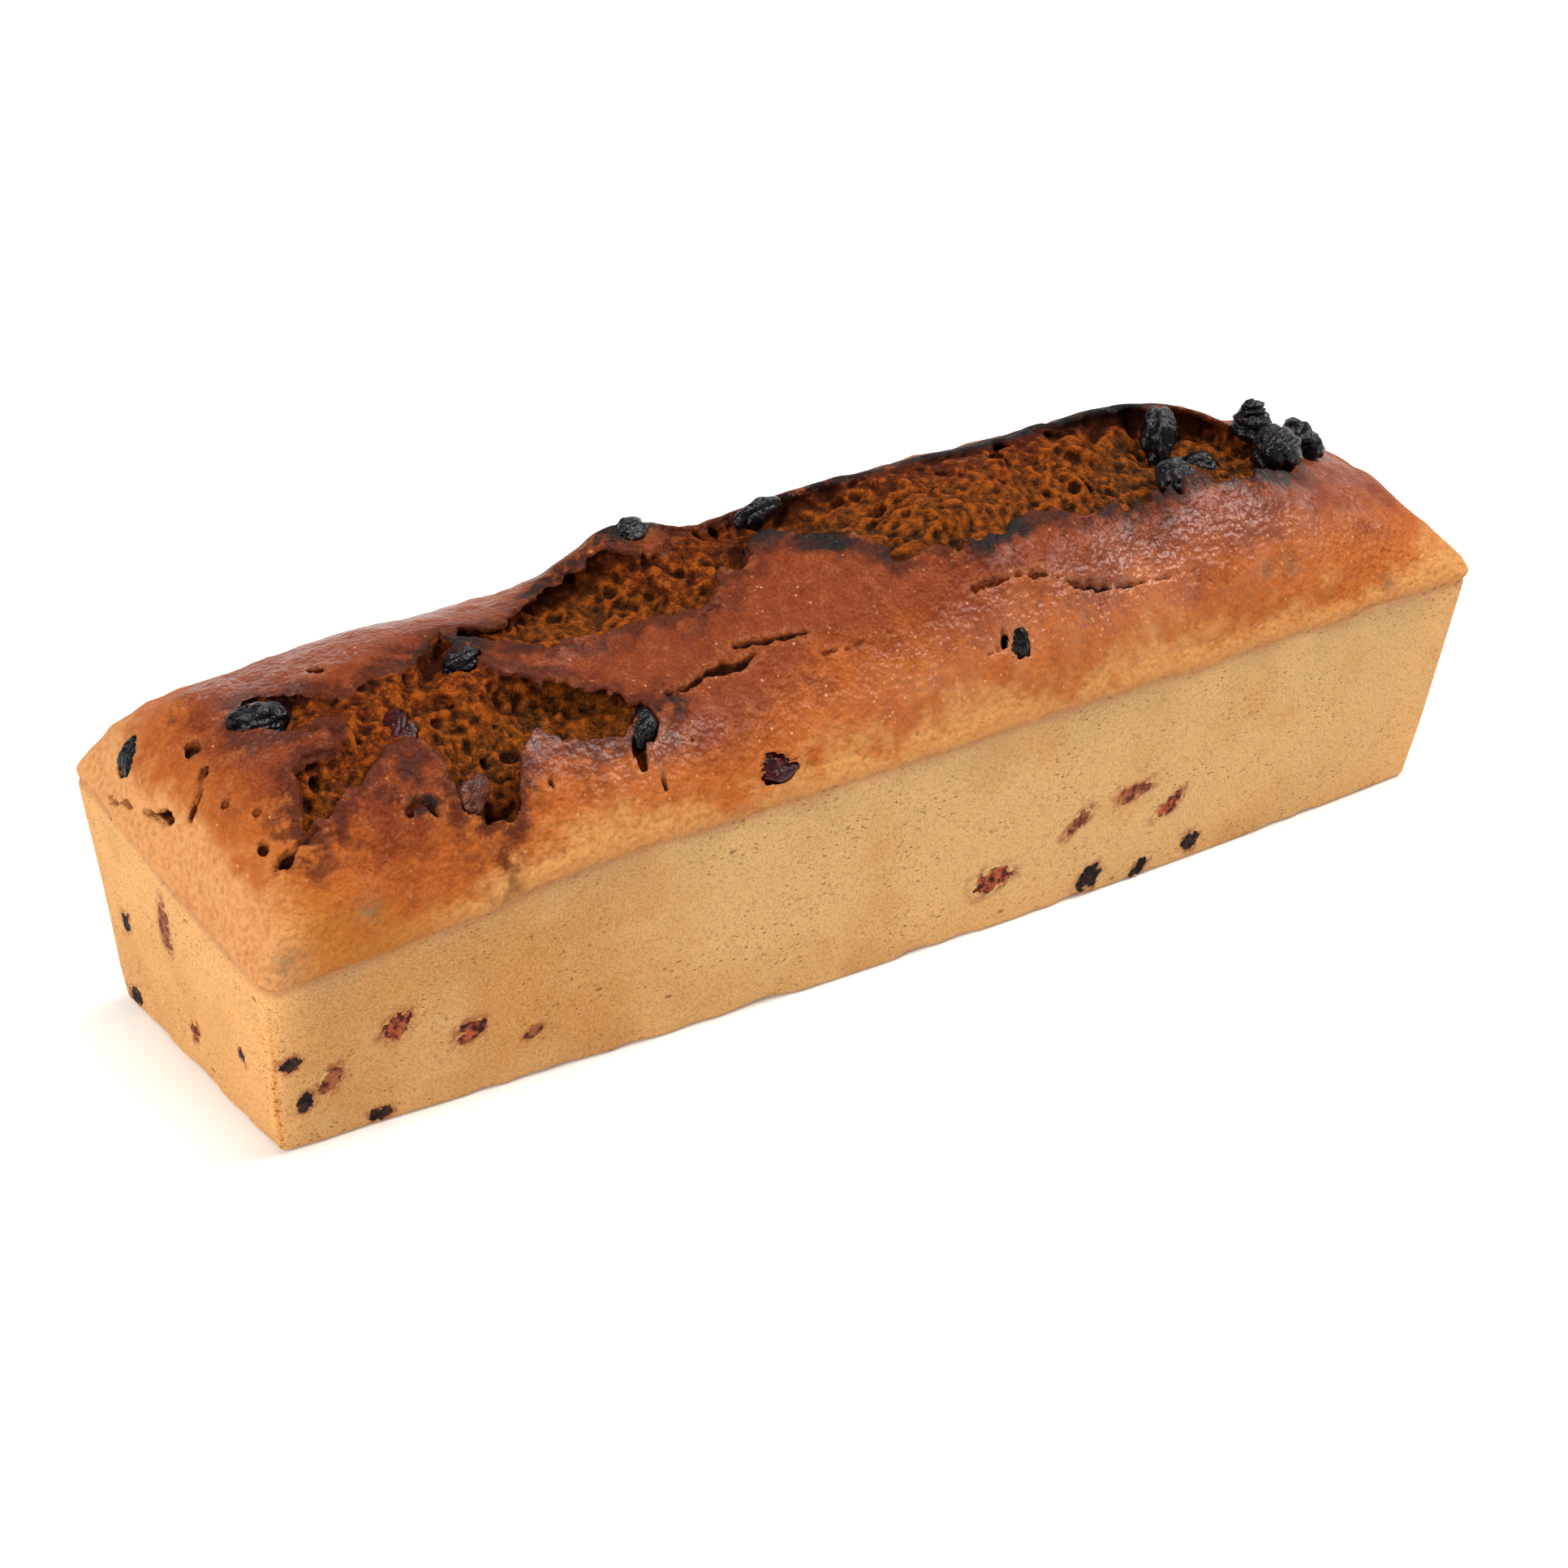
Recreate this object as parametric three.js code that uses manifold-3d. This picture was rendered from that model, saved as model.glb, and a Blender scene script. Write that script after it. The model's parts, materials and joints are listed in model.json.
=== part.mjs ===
// A fruit loaf baked in a long, narrow tin: one baked body with split crust on top, and the dried
// fruit that shows at its surface. Millimetres. The loaf stands on z = 0, its length runs along X,
// -Y is its front side, and the origin is the middle of its base.
import * as THREE from "three";
import { mergeVertices } from "three/addons/utils/BufferGeometryUtils.js";
import Module from "manifold-3d";

const wasm = await Module();
wasm.setup();

// The tin's inside: wider and longer at the rim than at the base.
const RIM_LENGTH = 280;
const RIM_WIDTH = 74;
const BASE_LENGTH = 268;
const BASE_WIDTH = 61.2;
const CORNER_RADIUS = 2;

// The long sides of the base bow outwards, most at BOW_CENTRE.
const BASE_BOW = 4.4;
const BOW_CENTRE = 15;
const BOW_REACH = 130;

// Height of the line where the loaf rises out of the tin, at the four corners and in between.
const RIM_HEIGHT = { leftFront: 40.6, leftBack: 46.8, right: 47.8, middleRise: 2 };

// Rise of the crown above that line, at stations along the length: [x, rise].
const CROWN = [
  [-140, 31.5], [-120, 28.5], [-95, 29.3], [-60, 26.4], [-20, 28.3],
  [20, 34], [60, 31.9], [95, 30.4], [120, 20.5], [140, 20.3],
];
const CROWN_ROUNDNESS = 2.3;
const CROWN_FULLNESS = 0.55;
const END_ROUNDNESS = 16;

// Where the crust split open in the oven: outline in plan, and depth of the crumb below the crust.
const SPLITS = [
  {
    depth: 9,
    wall: 7,
    outline: [
      [112, -8], [108, -16], [94, -19], [64, -18], [35, -18], [17, -16], [5, -10], [-4, 4],
      [-17, 2], [-28, -8], [-44, -6], [-62, -4], [-68, 3], [-60, 11], [-44, 14], [-35, 9],
      [-26, 14], [10, 14], [60, 13], [96, 12], [110, 5],
    ],
  },
  {
    depth: 7,
    wall: 6,
    outline: [
      [-47, -23], [-60, -18], [-73, -9], [-81, -1], [-77, 8], [-88, 5], [-103, 1], [-114, 7], [-125, 3],
      [-120, -5], [-110, -9], [-121, -18], [-125, -25], [-112, -22], [-101, -19], [-94, -24],
      [-92, -31], [-82, -27], [-70, -24], [-58, -26],
    ],
  },
];

// A flap of crust stands up behind the second opening.
const FLAP = { x: -33, y: 17, rise: 8, reachX: 16, reachY: 10 };

// Mesh density of the loaf.
const STEPS_ALONG = 58;
const STEPS_ACROSS = 20;
const STEPS_UP = 2;
const FRUIT_DETAIL = 1;

// Share by which the grid lines crowd towards the edges of the loaf.
const EDGE_CROWDING = 0.8;

// Clearance between a piece of fruit and the pocket that it sits in.
const POCKET_GAP = 0.3;

// Distance over which the slope of a face is measured to set a fruit on it.
const SLOPE_REACH = 4;

const COLOURS = {
  loaf_crust: { color: 0x9c4f1c, roughness: 0.55 },
  raisin: { color: 0x1d1718, roughness: 0.4 },
  cranberry: { color: 0x5a1414, roughness: 0.35 },
  sultana: { color: 0x6b3518, roughness: 0.5 },
};

// Fruit at the surface: [name, kind, face, a, b, [length, width, thickness], turn in degrees,
// lift of its middle above the surface]. On the top and base a, b are x, y; on the front and back
// x, z; on the ends y, z. A lift of 0 with a tin face means the fruit lies flush with that face.
const FRUIT = [
  ["cluster_raisin_front", "raisin", "top", 110, -8.5, [10, 9, 9], 20, 2.2],
  ["cluster_raisin_right", "raisin", "top", 120.5, -2.5, [10, 8, 8], 80, 1.8],
  ["cluster_raisin_back", "raisin", "top", 111, 2, [7.4, 6.8, 6.4], -20, 1.3],
  ["cluster_scrap", "raisin", "top", 110.9, 2.2, [3.6, 2.8, 3], -20, 6.5],
  ["split_raisin_back", "raisin", "top", 89, 8.5, [12, 7.5, 7], 70, 3.2],
  ["split_raisin_front", "raisin", "top", 81, -9, [12, 8, 7], 40, 2.8],
  ["split_raisin_right", "raisin", "top", 96, 0, [9, 7, 6], -20, 1.4],
  ["split_raisin_middle", "raisin", "top", -5, 12.8, [11, 6, 5.5], 5, 1.6],
  ["flap_raisin", "raisin", "top", -32, 15.5, [8, 6, 5], 20, 0.8],
  ["crust_raisin_left", "raisin", "top", -119, 3.6, [11.5, 7.5, 7], 10, -0.5],
  ["crust_raisin_end", "raisin", "top", -137, 19.5, [7.5, 6.5, 5], 0, -1.2],
  ["split_cranberry", "cranberry", "top", -98, -11, [11, 6.5, 6], 60, 2.5],
  ["crust_raisin_front", "raisin", "top", -55, -26, [8.5, 5.2, 5.5], 60, -0.6],
  ["crust_cranberry_front", "cranberry", "top", -31, -35.2, [10, 8, 6], 10, -2],
  ["crust_raisin_right", "raisin", "top", 26, -33, [8, 5.5, 5], 80, -1],
  ["torn_raisin", "sultana", "top", -92.5, -28.6, [8, 6, 5], 30, -0.6],
  ["strip_raisin", "raisin", "top", -79, -1.5, [8, 5, 4], 0, 1.8],
  ["back_raisin_left", "raisin", "top", -92, 33, [9, 7, 6], 40, -1.4],
  ["back_cranberry", "cranberry", "top", -14, 32, [10, 7, 6], -20, -0.8],
  ["back_raisin_right", "raisin", "top", 58, 32, [9, 7, 6], 15, -0.8],
  ["back_raisin_end", "raisin", "top", 104, 30, [8, 6, 5], 70, -0.6],

  ["front_cranberry_a", "cranberry", "front", -112, 23, [9, 6, 5], 70, 0],
  ["front_cranberry_b", "cranberry", "front", -96, 16, [8, 5, 5], 20, 0],
  ["front_raisin_a", "raisin", "front", -133.6, 22, [5, 3.5, 4], 10, 0],
  ["front_sultana_a", "sultana", "front", -125, 15, [8, 6, 5], 70, 0],
  ["front_raisin_b", "raisin", "front", -130, 11.5, [5, 3.5, 4], 90, 0],
  ["front_cranberry_c", "cranberry", "front", 21.5, 12, [9, 6, 5], 10, 0],
  ["front_sultana_b", "sultana", "front", 41.5, 18.5, [8, 4, 5], 40, 0],
  ["front_sultana_c", "sultana", "front", 56.3, 21.7, [7, 4, 5], 10, 0],
  ["front_cranberry_d", "cranberry", "front", 65.5, 15.2, [8, 4, 5], 40, 0],
  ["front_raisin_c", "raisin", "front", 73, 4.5, [6, 5, 5], 0, 0],
  ["front_raisin_d", "raisin", "front", 46.8, 4.2, [8, 5, 5], 60, 0],
  ["front_raisin_e", "raisin", "front", -113.5, 2.4, [6, 3.5, 4], 0, 0],
  ["front_raisin_f", "raisin", "front", 59.5, 2.5, [5, 3.5, 4], 40, 0],
  ["front_sultana_d", "sultana", "front", -83, 11, [4, 3, 4], 30, 0],

  ["left_sultana_a", "sultana", "left", 4.5, 31, [15, 5, 5], 80, 0],
  ["left_raisin_a", "raisin", "left", 24, 21, [6, 3.5, 4], 60, 0],
  ["left_cranberry", "cranberry", "left", 0, 10, [6, 3.5, 4], 60, 0],
  ["left_raisin_b", "raisin", "left", -22, 18, [4, 3, 4], 80, 0],
  ["left_raisin_c", "raisin", "left", 25, 3.4, [7, 4, 4], 20, 0],

  ["back_side_cranberry_a", "cranberry", "back", -102, 20, [9, 6, 5], 30, 0],
  ["back_side_raisin_a", "raisin", "back", -64, 9, [8, 5, 5], 10, 0],
  ["back_side_sultana_a", "sultana", "back", -20, 30, [8, 5, 5], 75, 0],
  ["back_side_cranberry_b", "cranberry", "back", 33, 14, [9, 5, 5], 20, 0],
  ["back_side_raisin_b", "raisin", "back", 76, 26, [7, 5, 5], 60, 0],
  ["back_side_raisin_c", "raisin", "back", 112, 10, [8, 6, 5], 0, 0],
  ["right_raisin_a", "raisin", "right", -12, 15, [8, 5, 5], 20, 0],
  ["right_cranberry", "cranberry", "right", 14, 29, [9, 6, 5], 70, 0],
];

const clamp = THREE.MathUtils.clamp;
const lerp = THREE.MathUtils.lerp;
const smoothstep = THREE.MathUtils.smoothstep;

// Value at x of a list of [x, value] stations, as a smooth curve through all of them.
function alongStations(stations, x) {
  const last = stations.length - 1;
  const next = clamp(stations.findIndex(([stationX]) => stationX >= x), 1, last);
  const slopeAt = (index) => {
    const before = stations[Math.max(index - 1, 0)];
    const after = stations[Math.min(index + 1, last)];
    return (after[1] - before[1]) / (after[0] - before[0]);
  };
  const [x0, value0] = stations[next - 1];
  const [x1, value1] = stations[next];
  const span = x1 - x0;
  const t = clamp((x - x0) / span, 0, 1);
  const start = value0 + span * slopeAt(next - 1) * t;
  const end = value1 - span * slopeAt(next) * (1 - t);
  return lerp(start, end, t * t * (3 - 2 * t));
}

// Height of the rim line over plan point x, y.
function rimHeight(x, y) {
  const along = clamp(x / RIM_LENGTH + 0.5, 0, 1);
  const across = clamp(y / RIM_WIDTH + 0.5, 0, 1);
  const leftHeight = lerp(RIM_HEIGHT.leftFront, RIM_HEIGHT.leftBack, across);
  const bulge = RIM_HEIGHT.middleRise * (1 - (2 * along - 1) ** 2);
  return lerp(leftHeight, RIM_HEIGHT.right, along) + bulge;
}

// Half length and half width of the tin-baked part at height z.
function halfLength(z, rimZ) {
  return lerp(BASE_LENGTH, RIM_LENGTH, clamp(z / rimZ, 0, 1)) / 2;
}

function halfWidth(x, z, rimZ) {
  const bow = BASE_BOW * Math.max(0, 1 - ((x - BOW_CENTRE) / BOW_REACH) ** 2);
  return lerp(BASE_WIDTH / 2 + bow, RIM_WIDTH / 2, clamp(z / rimZ, 0, 1));
}

// Distance from a plan point to an outline, positive inside it.
function insideDistance(outline, x, y) {
  let nearest = Infinity;
  let inside = false;
  outline.forEach(([x0, y0], index) => {
    const [x1, y1] = outline[(index + 1) % outline.length];
    const edgeX = x1 - x0;
    const edgeY = y1 - y0;
    const along = clamp(((x - x0) * edgeX + (y - y0) * edgeY) / (edgeX ** 2 + edgeY ** 2), 0, 1);
    nearest = Math.min(nearest, Math.hypot(x - x0 - along * edgeX, y - y0 - along * edgeY));
    if (y0 > y !== y1 > y && x < x0 + ((y - y0) / edgeY) * edgeX) {
      inside = !inside;
    }
  });
  return inside ? nearest : -nearest;
}

function flapRise(x, y) {
  const dx = (x - FLAP.x) / FLAP.reachX;
  const dy = (y - FLAP.y) / FLAP.reachY;
  return FLAP.rise * Math.max(0, 1 - Math.hypot(dx, dy));
}

function splitDepth(x, y) {
  return SPLITS.reduce((depth, split) => {
    const inside = insideDistance(split.outline, x, y);
    return Math.max(depth, split.depth * smoothstep(inside, 0, split.wall));
  }, 0);
}

// Height of the baked top over plan point x, y, with the splits in it.
function topHeight(x, y) {
  const across = clamp(Math.abs(y) / (RIM_WIDTH / 2), 0, 1);
  const along = clamp(Math.abs(x) / (RIM_LENGTH / 2), 0, 1);
  const crossShape = (1 - across ** CROWN_ROUNDNESS) ** CROWN_FULLNESS;
  const endShape = Math.sqrt(1 - along ** END_ROUNDNESS);
  const dome = alongStations(CROWN, x) * crossShape * endShape;
  return rimHeight(x, y) + dome + flapRise(x, y) * crossShape - splitDepth(x, y);
}

// Rounds the corners of a rectangle of the given half sizes by pulling points in towards an arc.
function roundCorner(x, y, halfX, halfY) {
  const innerX = clamp(x, CORNER_RADIUS - halfX, halfX - CORNER_RADIUS);
  const innerY = clamp(y, CORNER_RADIUS - halfY, halfY - CORNER_RADIUS);
  const dx = x - innerX;
  const dy = y - innerY;
  const reach = Math.hypot(dx, dy);
  if (reach === 0) {
    return [x, y];
  }
  const scale = Math.max(Math.abs(dx), Math.abs(dy)) / reach;
  return [innerX + dx * scale, innerY + dy * scale];
}

// Spreads evenly spaced steps from -1 to 1 so that they are closer together at both ends.
function denserAtEnds(t) {
  return lerp(t, Math.sin((t * Math.PI) / 2), EDGE_CROWDING);
}

// The whole baked body before any fruit: a box grid bent to the tin below and the crown above.
function loafGeometry() {
  const geometry = new THREE.BoxGeometry(2, 2, 1, STEPS_ALONG, STEPS_ACROSS, STEPS_UP);
  const position = geometry.attributes.position;
  for (let i = 0; i < position.count; i += 1) {
    const u = denserAtEnds(position.getX(i));
    const v = denserAtEnds(position.getY(i));
    const level = position.getZ(i) + 0.5;
    const rimZ = rimHeight((u * RIM_LENGTH) / 2, (v * RIM_WIDTH) / 2);
    const z = level * rimZ;
    const halfX = halfLength(z, rimZ);
    const halfY = halfWidth(u * halfX, z, rimZ);
    const [x, y] = roundCorner(u * halfX, v * halfY, halfX, halfY);
    const onTop = level > 1 - 1e-6;
    position.setXYZ(i, x, y, onTop ? topHeight(u * halfX, v * halfY) : z);
  }
  return geometry;
}

function toSolid(geometry) {
  const bare = geometry.clone();
  bare.deleteAttribute("normal");
  bare.deleteAttribute("uv");
  const merged = mergeVertices(bare, 1e-4);
  return new wasm.Manifold(
    new wasm.Mesh({
      numProp: 3,
      vertProperties: new Float32Array(merged.attributes.position.array),
      triVerts: new Uint32Array(merged.index.array),
    }),
  );
}

function toGeometry(solid) {
  const mesh = solid.getMesh();
  const geometry = new THREE.BufferGeometry();
  geometry.setAttribute("position", new THREE.BufferAttribute(mesh.vertProperties, 3));
  geometry.setIndex(new THREE.BufferAttribute(mesh.triVerts, 1));
  geometry.computeVertexNormals();
  return geometry;
}

// A point on one face of the loaf from its two face coordinates.
function facePoint(face, a, b) {
  if (face === "top") {
    return new THREE.Vector3(a, b, topHeight(a, b));
  }
  if (face === "front" || face === "back") {
    const sign = face === "front" ? -1 : 1;
    const rimZ = rimHeight(a, (sign * RIM_WIDTH) / 2);
    return new THREE.Vector3(a, sign * halfWidth(a, b, rimZ), b);
  }
  const sign = face === "left" ? -1 : 1;
  const rimZ = rimHeight((sign * RIM_LENGTH) / 2, a);
  return new THREE.Vector3(sign * halfLength(b, rimZ), a, b);
}

// The frame of a face point: first direction along the face, second across it, third outwards.
function faceFrame(face, a, b) {
  const first = facePoint(face, a + SLOPE_REACH, b);
  first.sub(facePoint(face, a - SLOPE_REACH, b)).normalize();
  const second = facePoint(face, a, b + SLOPE_REACH);
  second.sub(facePoint(face, a, b - SLOPE_REACH));
  const outward = new THREE.Vector3().crossVectors(first, second).normalize();
  if (face === "back" || face === "left") {
    outward.negate();
  }
  return new THREE.Matrix4().makeBasis(
    first,
    new THREE.Vector3().crossVectors(outward, first).normalize(),
    outward,
  );
}

// A dried fruit: a faceted ellipsoid of the given full sizes, grown by margin.
function fruitGeometry([length, width, thickness], margin) {
  const geometry = new THREE.IcosahedronGeometry(1, FRUIT_DETAIL);
  geometry.scale(length / 2 + margin, width / 2 + margin, thickness / 2 + margin);
  return geometry;
}

function placeOnFace(geometry, face, a, b, turn, lift) {
  const frame = faceFrame(face, a, b);
  const outward = new THREE.Vector3().setFromMatrixColumn(frame, 2);
  const centre = facePoint(face, a, b).addScaledVector(outward, lift);
  geometry.rotateZ(THREE.MathUtils.degToRad(turn));
  geometry.applyMatrix4(frame.setPosition(centre));
  return geometry;
}

function material(name) {
  return new THREE.MeshStandardMaterial({ ...COLOURS[name], metalness: 0 });
}

function namedMesh(name, solid, materialName) {
  const mesh = new THREE.Mesh(toGeometry(solid), material(materialName));
  mesh.name = name;
  return mesh;
}

const group = new THREE.Group();
const wholeLoaf = toSolid(loafGeometry());
let loaf = wholeLoaf;
for (const [name, kind, face, a, b, size, turn, lift] of FRUIT) {
  const fruit = toSolid(placeOnFace(fruitGeometry(size, 0), face, a, b, turn, lift));
  const pocket = toSolid(placeOnFace(fruitGeometry(size, POCKET_GAP), face, a, b, turn, lift));
  group.add(namedMesh(name, face === "top" ? fruit : fruit.intersect(wholeLoaf), kind));
  loaf = loaf.subtract(pocket);
}
group.add(namedMesh("loaf_body", loaf, "loaf_crust"));

export default group;
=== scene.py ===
import json

import bmesh
import bpy
import numpy as np
from mathutils import Matrix, Vector


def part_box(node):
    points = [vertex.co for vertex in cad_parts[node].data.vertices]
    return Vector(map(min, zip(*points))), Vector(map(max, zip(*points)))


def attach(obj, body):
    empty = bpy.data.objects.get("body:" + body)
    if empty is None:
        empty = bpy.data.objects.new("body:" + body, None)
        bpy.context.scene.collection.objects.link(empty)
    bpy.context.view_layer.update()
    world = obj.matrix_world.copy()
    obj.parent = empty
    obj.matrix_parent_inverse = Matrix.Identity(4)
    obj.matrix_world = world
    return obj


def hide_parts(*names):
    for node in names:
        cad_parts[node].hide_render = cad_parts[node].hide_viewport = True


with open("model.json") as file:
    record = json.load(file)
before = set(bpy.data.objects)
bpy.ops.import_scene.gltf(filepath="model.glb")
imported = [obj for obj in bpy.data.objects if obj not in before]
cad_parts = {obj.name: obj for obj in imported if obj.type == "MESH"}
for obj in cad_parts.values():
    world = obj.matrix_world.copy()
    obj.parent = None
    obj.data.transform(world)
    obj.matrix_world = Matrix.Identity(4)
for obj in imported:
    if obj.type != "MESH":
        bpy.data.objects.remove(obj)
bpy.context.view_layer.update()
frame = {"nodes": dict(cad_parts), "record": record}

MM = 0.001
FAR_AWAY = 1e3            # farther than anything on the loaf, mm
SEED = 41
STEP = 0.5      # grid step of the body, mm

# ==== The outer form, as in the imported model, mm ====
low, high = (np.array(corner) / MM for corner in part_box("loaf_body"))
RIM_LENGTH, RIM_WIDTH = (high - low)[:2]
BASE_LENGTH = RIM_LENGTH - 12.0
BASE_WIDTH = RIM_WIDTH - 12.8
BASE_CORNER_RADIUS = 1.6
RIM_CORNER_RADIUS = 4.0
BASE_EDGE_RADIUS = 1.2
BASE_BOW = 4.4            # how far each long side bows out at the base
BOW_CENTRE = 15.0
BOW_REACH = 130.0
RIM_LEFT_FRONT = 40.6     # heights of the rim line
RIM_LEFT_BACK = 46.8
RIM_RIGHT = 47.8
RIM_MIDDLE_RISE = 2.0
CROWN_X = np.array([-140.0, -120, -95, -60, -20, 20, 60, 95, 120, 140])
CROWN_RISE = np.array([31.5, 28.5, 29.3, 26.4, 28.3, 34, 31.9, 30.4, 20.5, 20.3])
ACROSS_POWER = 2.3        # powers of the crown's arch: the higher, the squarer
ALONG_POWER = 16
RISE_POWER = 1 / 0.55


def smoothstep(value, start, end):
    t = np.clip((value - start) / (end - start), 0, 1)
    return t * t * (3 - 2 * t)


def lerp(a, b, t):
    return a + (b - a) * t


def crown_rise(x):
    """Height of the crown above the rim line: a smooth curve through its stations."""
    slopes = np.gradient(CROWN_RISE, CROWN_X)
    i = np.clip(np.searchsorted(CROWN_X, x), 1, len(CROWN_X) - 1)
    span = CROWN_X[i] - CROWN_X[i - 1]
    t = np.clip((x - CROWN_X[i - 1]) / span, 0, 1)
    start = CROWN_RISE[i - 1] + span * slopes[i - 1] * t
    end = CROWN_RISE[i] - span * slopes[i] * (1 - t)
    return lerp(start, end, t * t * (3 - 2 * t))


def rim_height(x, y):
    """Height of the line where the loaf rises out of its tin."""
    along = np.clip(x / RIM_LENGTH + 0.5, 0, 1)
    across = np.clip(y / RIM_WIDTH + 0.5, 0, 1)
    left = lerp(RIM_LEFT_FRONT, RIM_LEFT_BACK, across)
    return lerp(left, RIM_RIGHT, along) + RIM_MIDDLE_RISE * (1 - (2 * along - 1) ** 2)


def tin_halves(x, level):
    """Half length and half width inside the tin at a level from 0, the base, to 1, the rim."""
    bow = BASE_BOW * np.clip(1 - ((x - BOW_CENTRE) / BOW_REACH) ** 2, 0, 1)
    half_x = lerp(BASE_LENGTH, RIM_LENGTH, level) / 2
    return half_x, lerp(BASE_WIDTH / 2 + bow, RIM_WIDTH / 2, level)


def tin_distance(x, y, level):
    """Distance outside the flared tin walls at a level."""
    half_x, half_y = tin_halves(x, level)
    radius = lerp(BASE_CORNER_RADIUS, RIM_CORNER_RADIUS, level**3)
    past_x = np.abs(x) - half_x + radius
    past_y = np.abs(y) - half_y + radius
    corner = np.hypot(np.maximum(past_x, 0), np.maximum(past_y, 0))
    return corner + np.minimum(np.maximum(past_x, past_y), 0) - radius


def crown_distance(x, y, over_rim):
    """Distance outside the crown, whose cross section is a full, flattened arch."""
    rise = crown_rise(x)
    u = np.clip(np.abs(x) / (RIM_LENGTH / 2), 0, 1.1)
    v = np.clip(np.abs(y) / (RIM_WIDTH / 2), 0, 1.1)
    s = np.maximum(over_rim, 0) / rise
    end = u ** ALONG_POWER
    side = v ** ACROSS_POWER
    s_slope = s ** (RISE_POWER - 1)
    value = s * s_slope + side + end - side * end - 1
    slope_x = ALONG_POWER * u ** (ALONG_POWER - 1) / (RIM_LENGTH / 2) * (1 - side)
    slope_y = ACROSS_POWER * v ** (ACROSS_POWER - 1) / (RIM_WIDTH / 2) * (1 - end)
    slope_z = RISE_POWER * s_slope / rise
    return value / np.sqrt(slope_x**2 + slope_y**2 + slope_z**2 + 1e-6)


def outer_distance(x, y, z):
    """Signed distance, about right near the surface, outside the whole unsplit loaf."""
    rim = rim_height(x, y)
    over_rim = z - rim
    tin = tin_distance(x, y, np.clip(z / rim, 0, 1))
    crown = np.where(over_rim > 0, np.maximum(crown_distance(x, y, over_rim), tin), tin)
    past_side = crown + BASE_EDGE_RADIUS
    past_base = BASE_EDGE_RADIUS - z
    edge = np.hypot(np.maximum(past_side, 0), np.maximum(past_base, 0))
    return edge + np.minimum(np.maximum(past_side, past_base), 0) - BASE_EDGE_RADIUS


# ==== The grid and its noise ====
SIDE_ROOM = 3.0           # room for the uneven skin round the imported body, mm
ROOM_BELOW = 1.75
ROOM_ABOVE = 9.0
grid_x = np.arange(low[0] - SIDE_ROOM, high[0] + SIDE_ROOM, STEP, dtype=np.float32)
grid_y = np.arange(low[1] - SIDE_ROOM, high[1] + SIDE_ROOM, STEP, dtype=np.float32)
grid_z = np.arange(-ROOM_BELOW, high[2] + ROOM_ABOVE, STEP, dtype=np.float32)
plan_x = grid_x[:, None]
plan_y = grid_y[None, :]
X = grid_x[:, None, None]
Y = grid_y[None, :, None]
Z = grid_z[None, None, :]


def spline_weights(points, wavelength):
    """Cubic B-spline weights that spread a lattice of random values over the points."""
    place = (points - points[0]) / wavelength
    cell = place.astype(int)
    t = place - cell
    taps = ((1 - t) ** 3, 3 * t**3 - 6 * t**2 + 4, 3 * (t**2 - t**3) + 3 * t + 1, t**3)
    weights = np.zeros((len(points), cell[-1] + 4), np.float32)
    for offset, tap in enumerate(taps):
        weights[np.arange(len(points)), cell + offset] = tap / 6
    return weights


def noise(seed, *wavelengths, axes=(grid_x, grid_y, grid_z)):
    """Smooth random field over as many grid axes as there are wavelengths, spread about 1."""
    weights = [spline_weights(a, w) for a, w in zip(axes, wavelengths)]
    field = np.random.default_rng(SEED + seed).standard_normal([w.shape[1] for w in weights])
    field = field.astype(np.float32)
    for axis, weight in reversed(list(enumerate(weights))):
        field = np.moveaxis(np.tensordot(weight, field, (1, axis)), 0, axis)
    return np.ascontiguousarray(field / field.std())


# ==== Splits in the crust, mm in plan ====
LONG_SPLIT = [
    (112, -9), (109, -15), (94, -19), (75, -18.5), (54, -18), (35, -17.5), (21, -19), (17, -16),
    (9, -14), (5, -9), (1, -5), (-5, 1), (-12, 4), (-16, 1), (-22, -2), (-27, -8), (-35, -8),
    (-46, -5), (-58, -4.5), (-66, -3), (-72, -1), (-78, 3), (-76, 9), (-69, 7), (-64, 9),
    (-58, 12), (-50, 14), (-43, 13.5), (-37, 10.5), (-31, 7.5), (-27, 12), (-22, 16.5), (-5, 17.5),
    (15, 18), (60, 17), (88, 14), (103, 10), (111, 3),
]
LEFT_SPLIT = [
    (-47, -23.5), (-54, -21), (-60, -18.5), (-67, -14), (-74, -8), (-80, -1), (-77, 10),
    (-82, 6), (-88, 4), (-96, 1), (-104, 0), (-110, 5), (-116, 8), (-122, 6), (-126, 2),
    (-121, -4), (-111, -8), (-114, -12), (-120, -16), (-125, -22), (-125, -25.5), (-119, -23),
    (-108, -22), (-102, -19), (-95, -21), (-95.5, -29), (-92, -32), (-86, -30), (-81, -25),
    (-75, -22), (-67, -26), (-60, -26.5), (-52, -25),
]
SPLITS = [(LONG_SPLIT, 8.5), (LEFT_SPLIT, 7.0)]      # outlines and depths
BACK_SLOPE = 0.62         # how much shallower the middle of the long split is along its back
FLOOR_REACH = 3.2         # how far inside its outline a split gets most of its depth
CRUST_THICKNESS = 1.1
UNDERCUT = 0.8            # how far the crust overhangs the crumb everywhere
LIP_RISE = 0.75
LIP_REACH = 3.2
CRACK_EDGE_RISE = 0.35
CRACK_EDGE_REACH = 1.8
CRACK_NEAR = 2.0          # how near a column has to be to a crack or hole to be looked at

# Where the crust overhangs the crumb: (x, y, reach of the spot, extra undercut).
OVERHANGS = [(-50, 16, 14, 5.0), (-112, 8, 12, 3.5), (-66, -12, 16, 3.0), (100, 8, 12, 3.0)]

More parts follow.
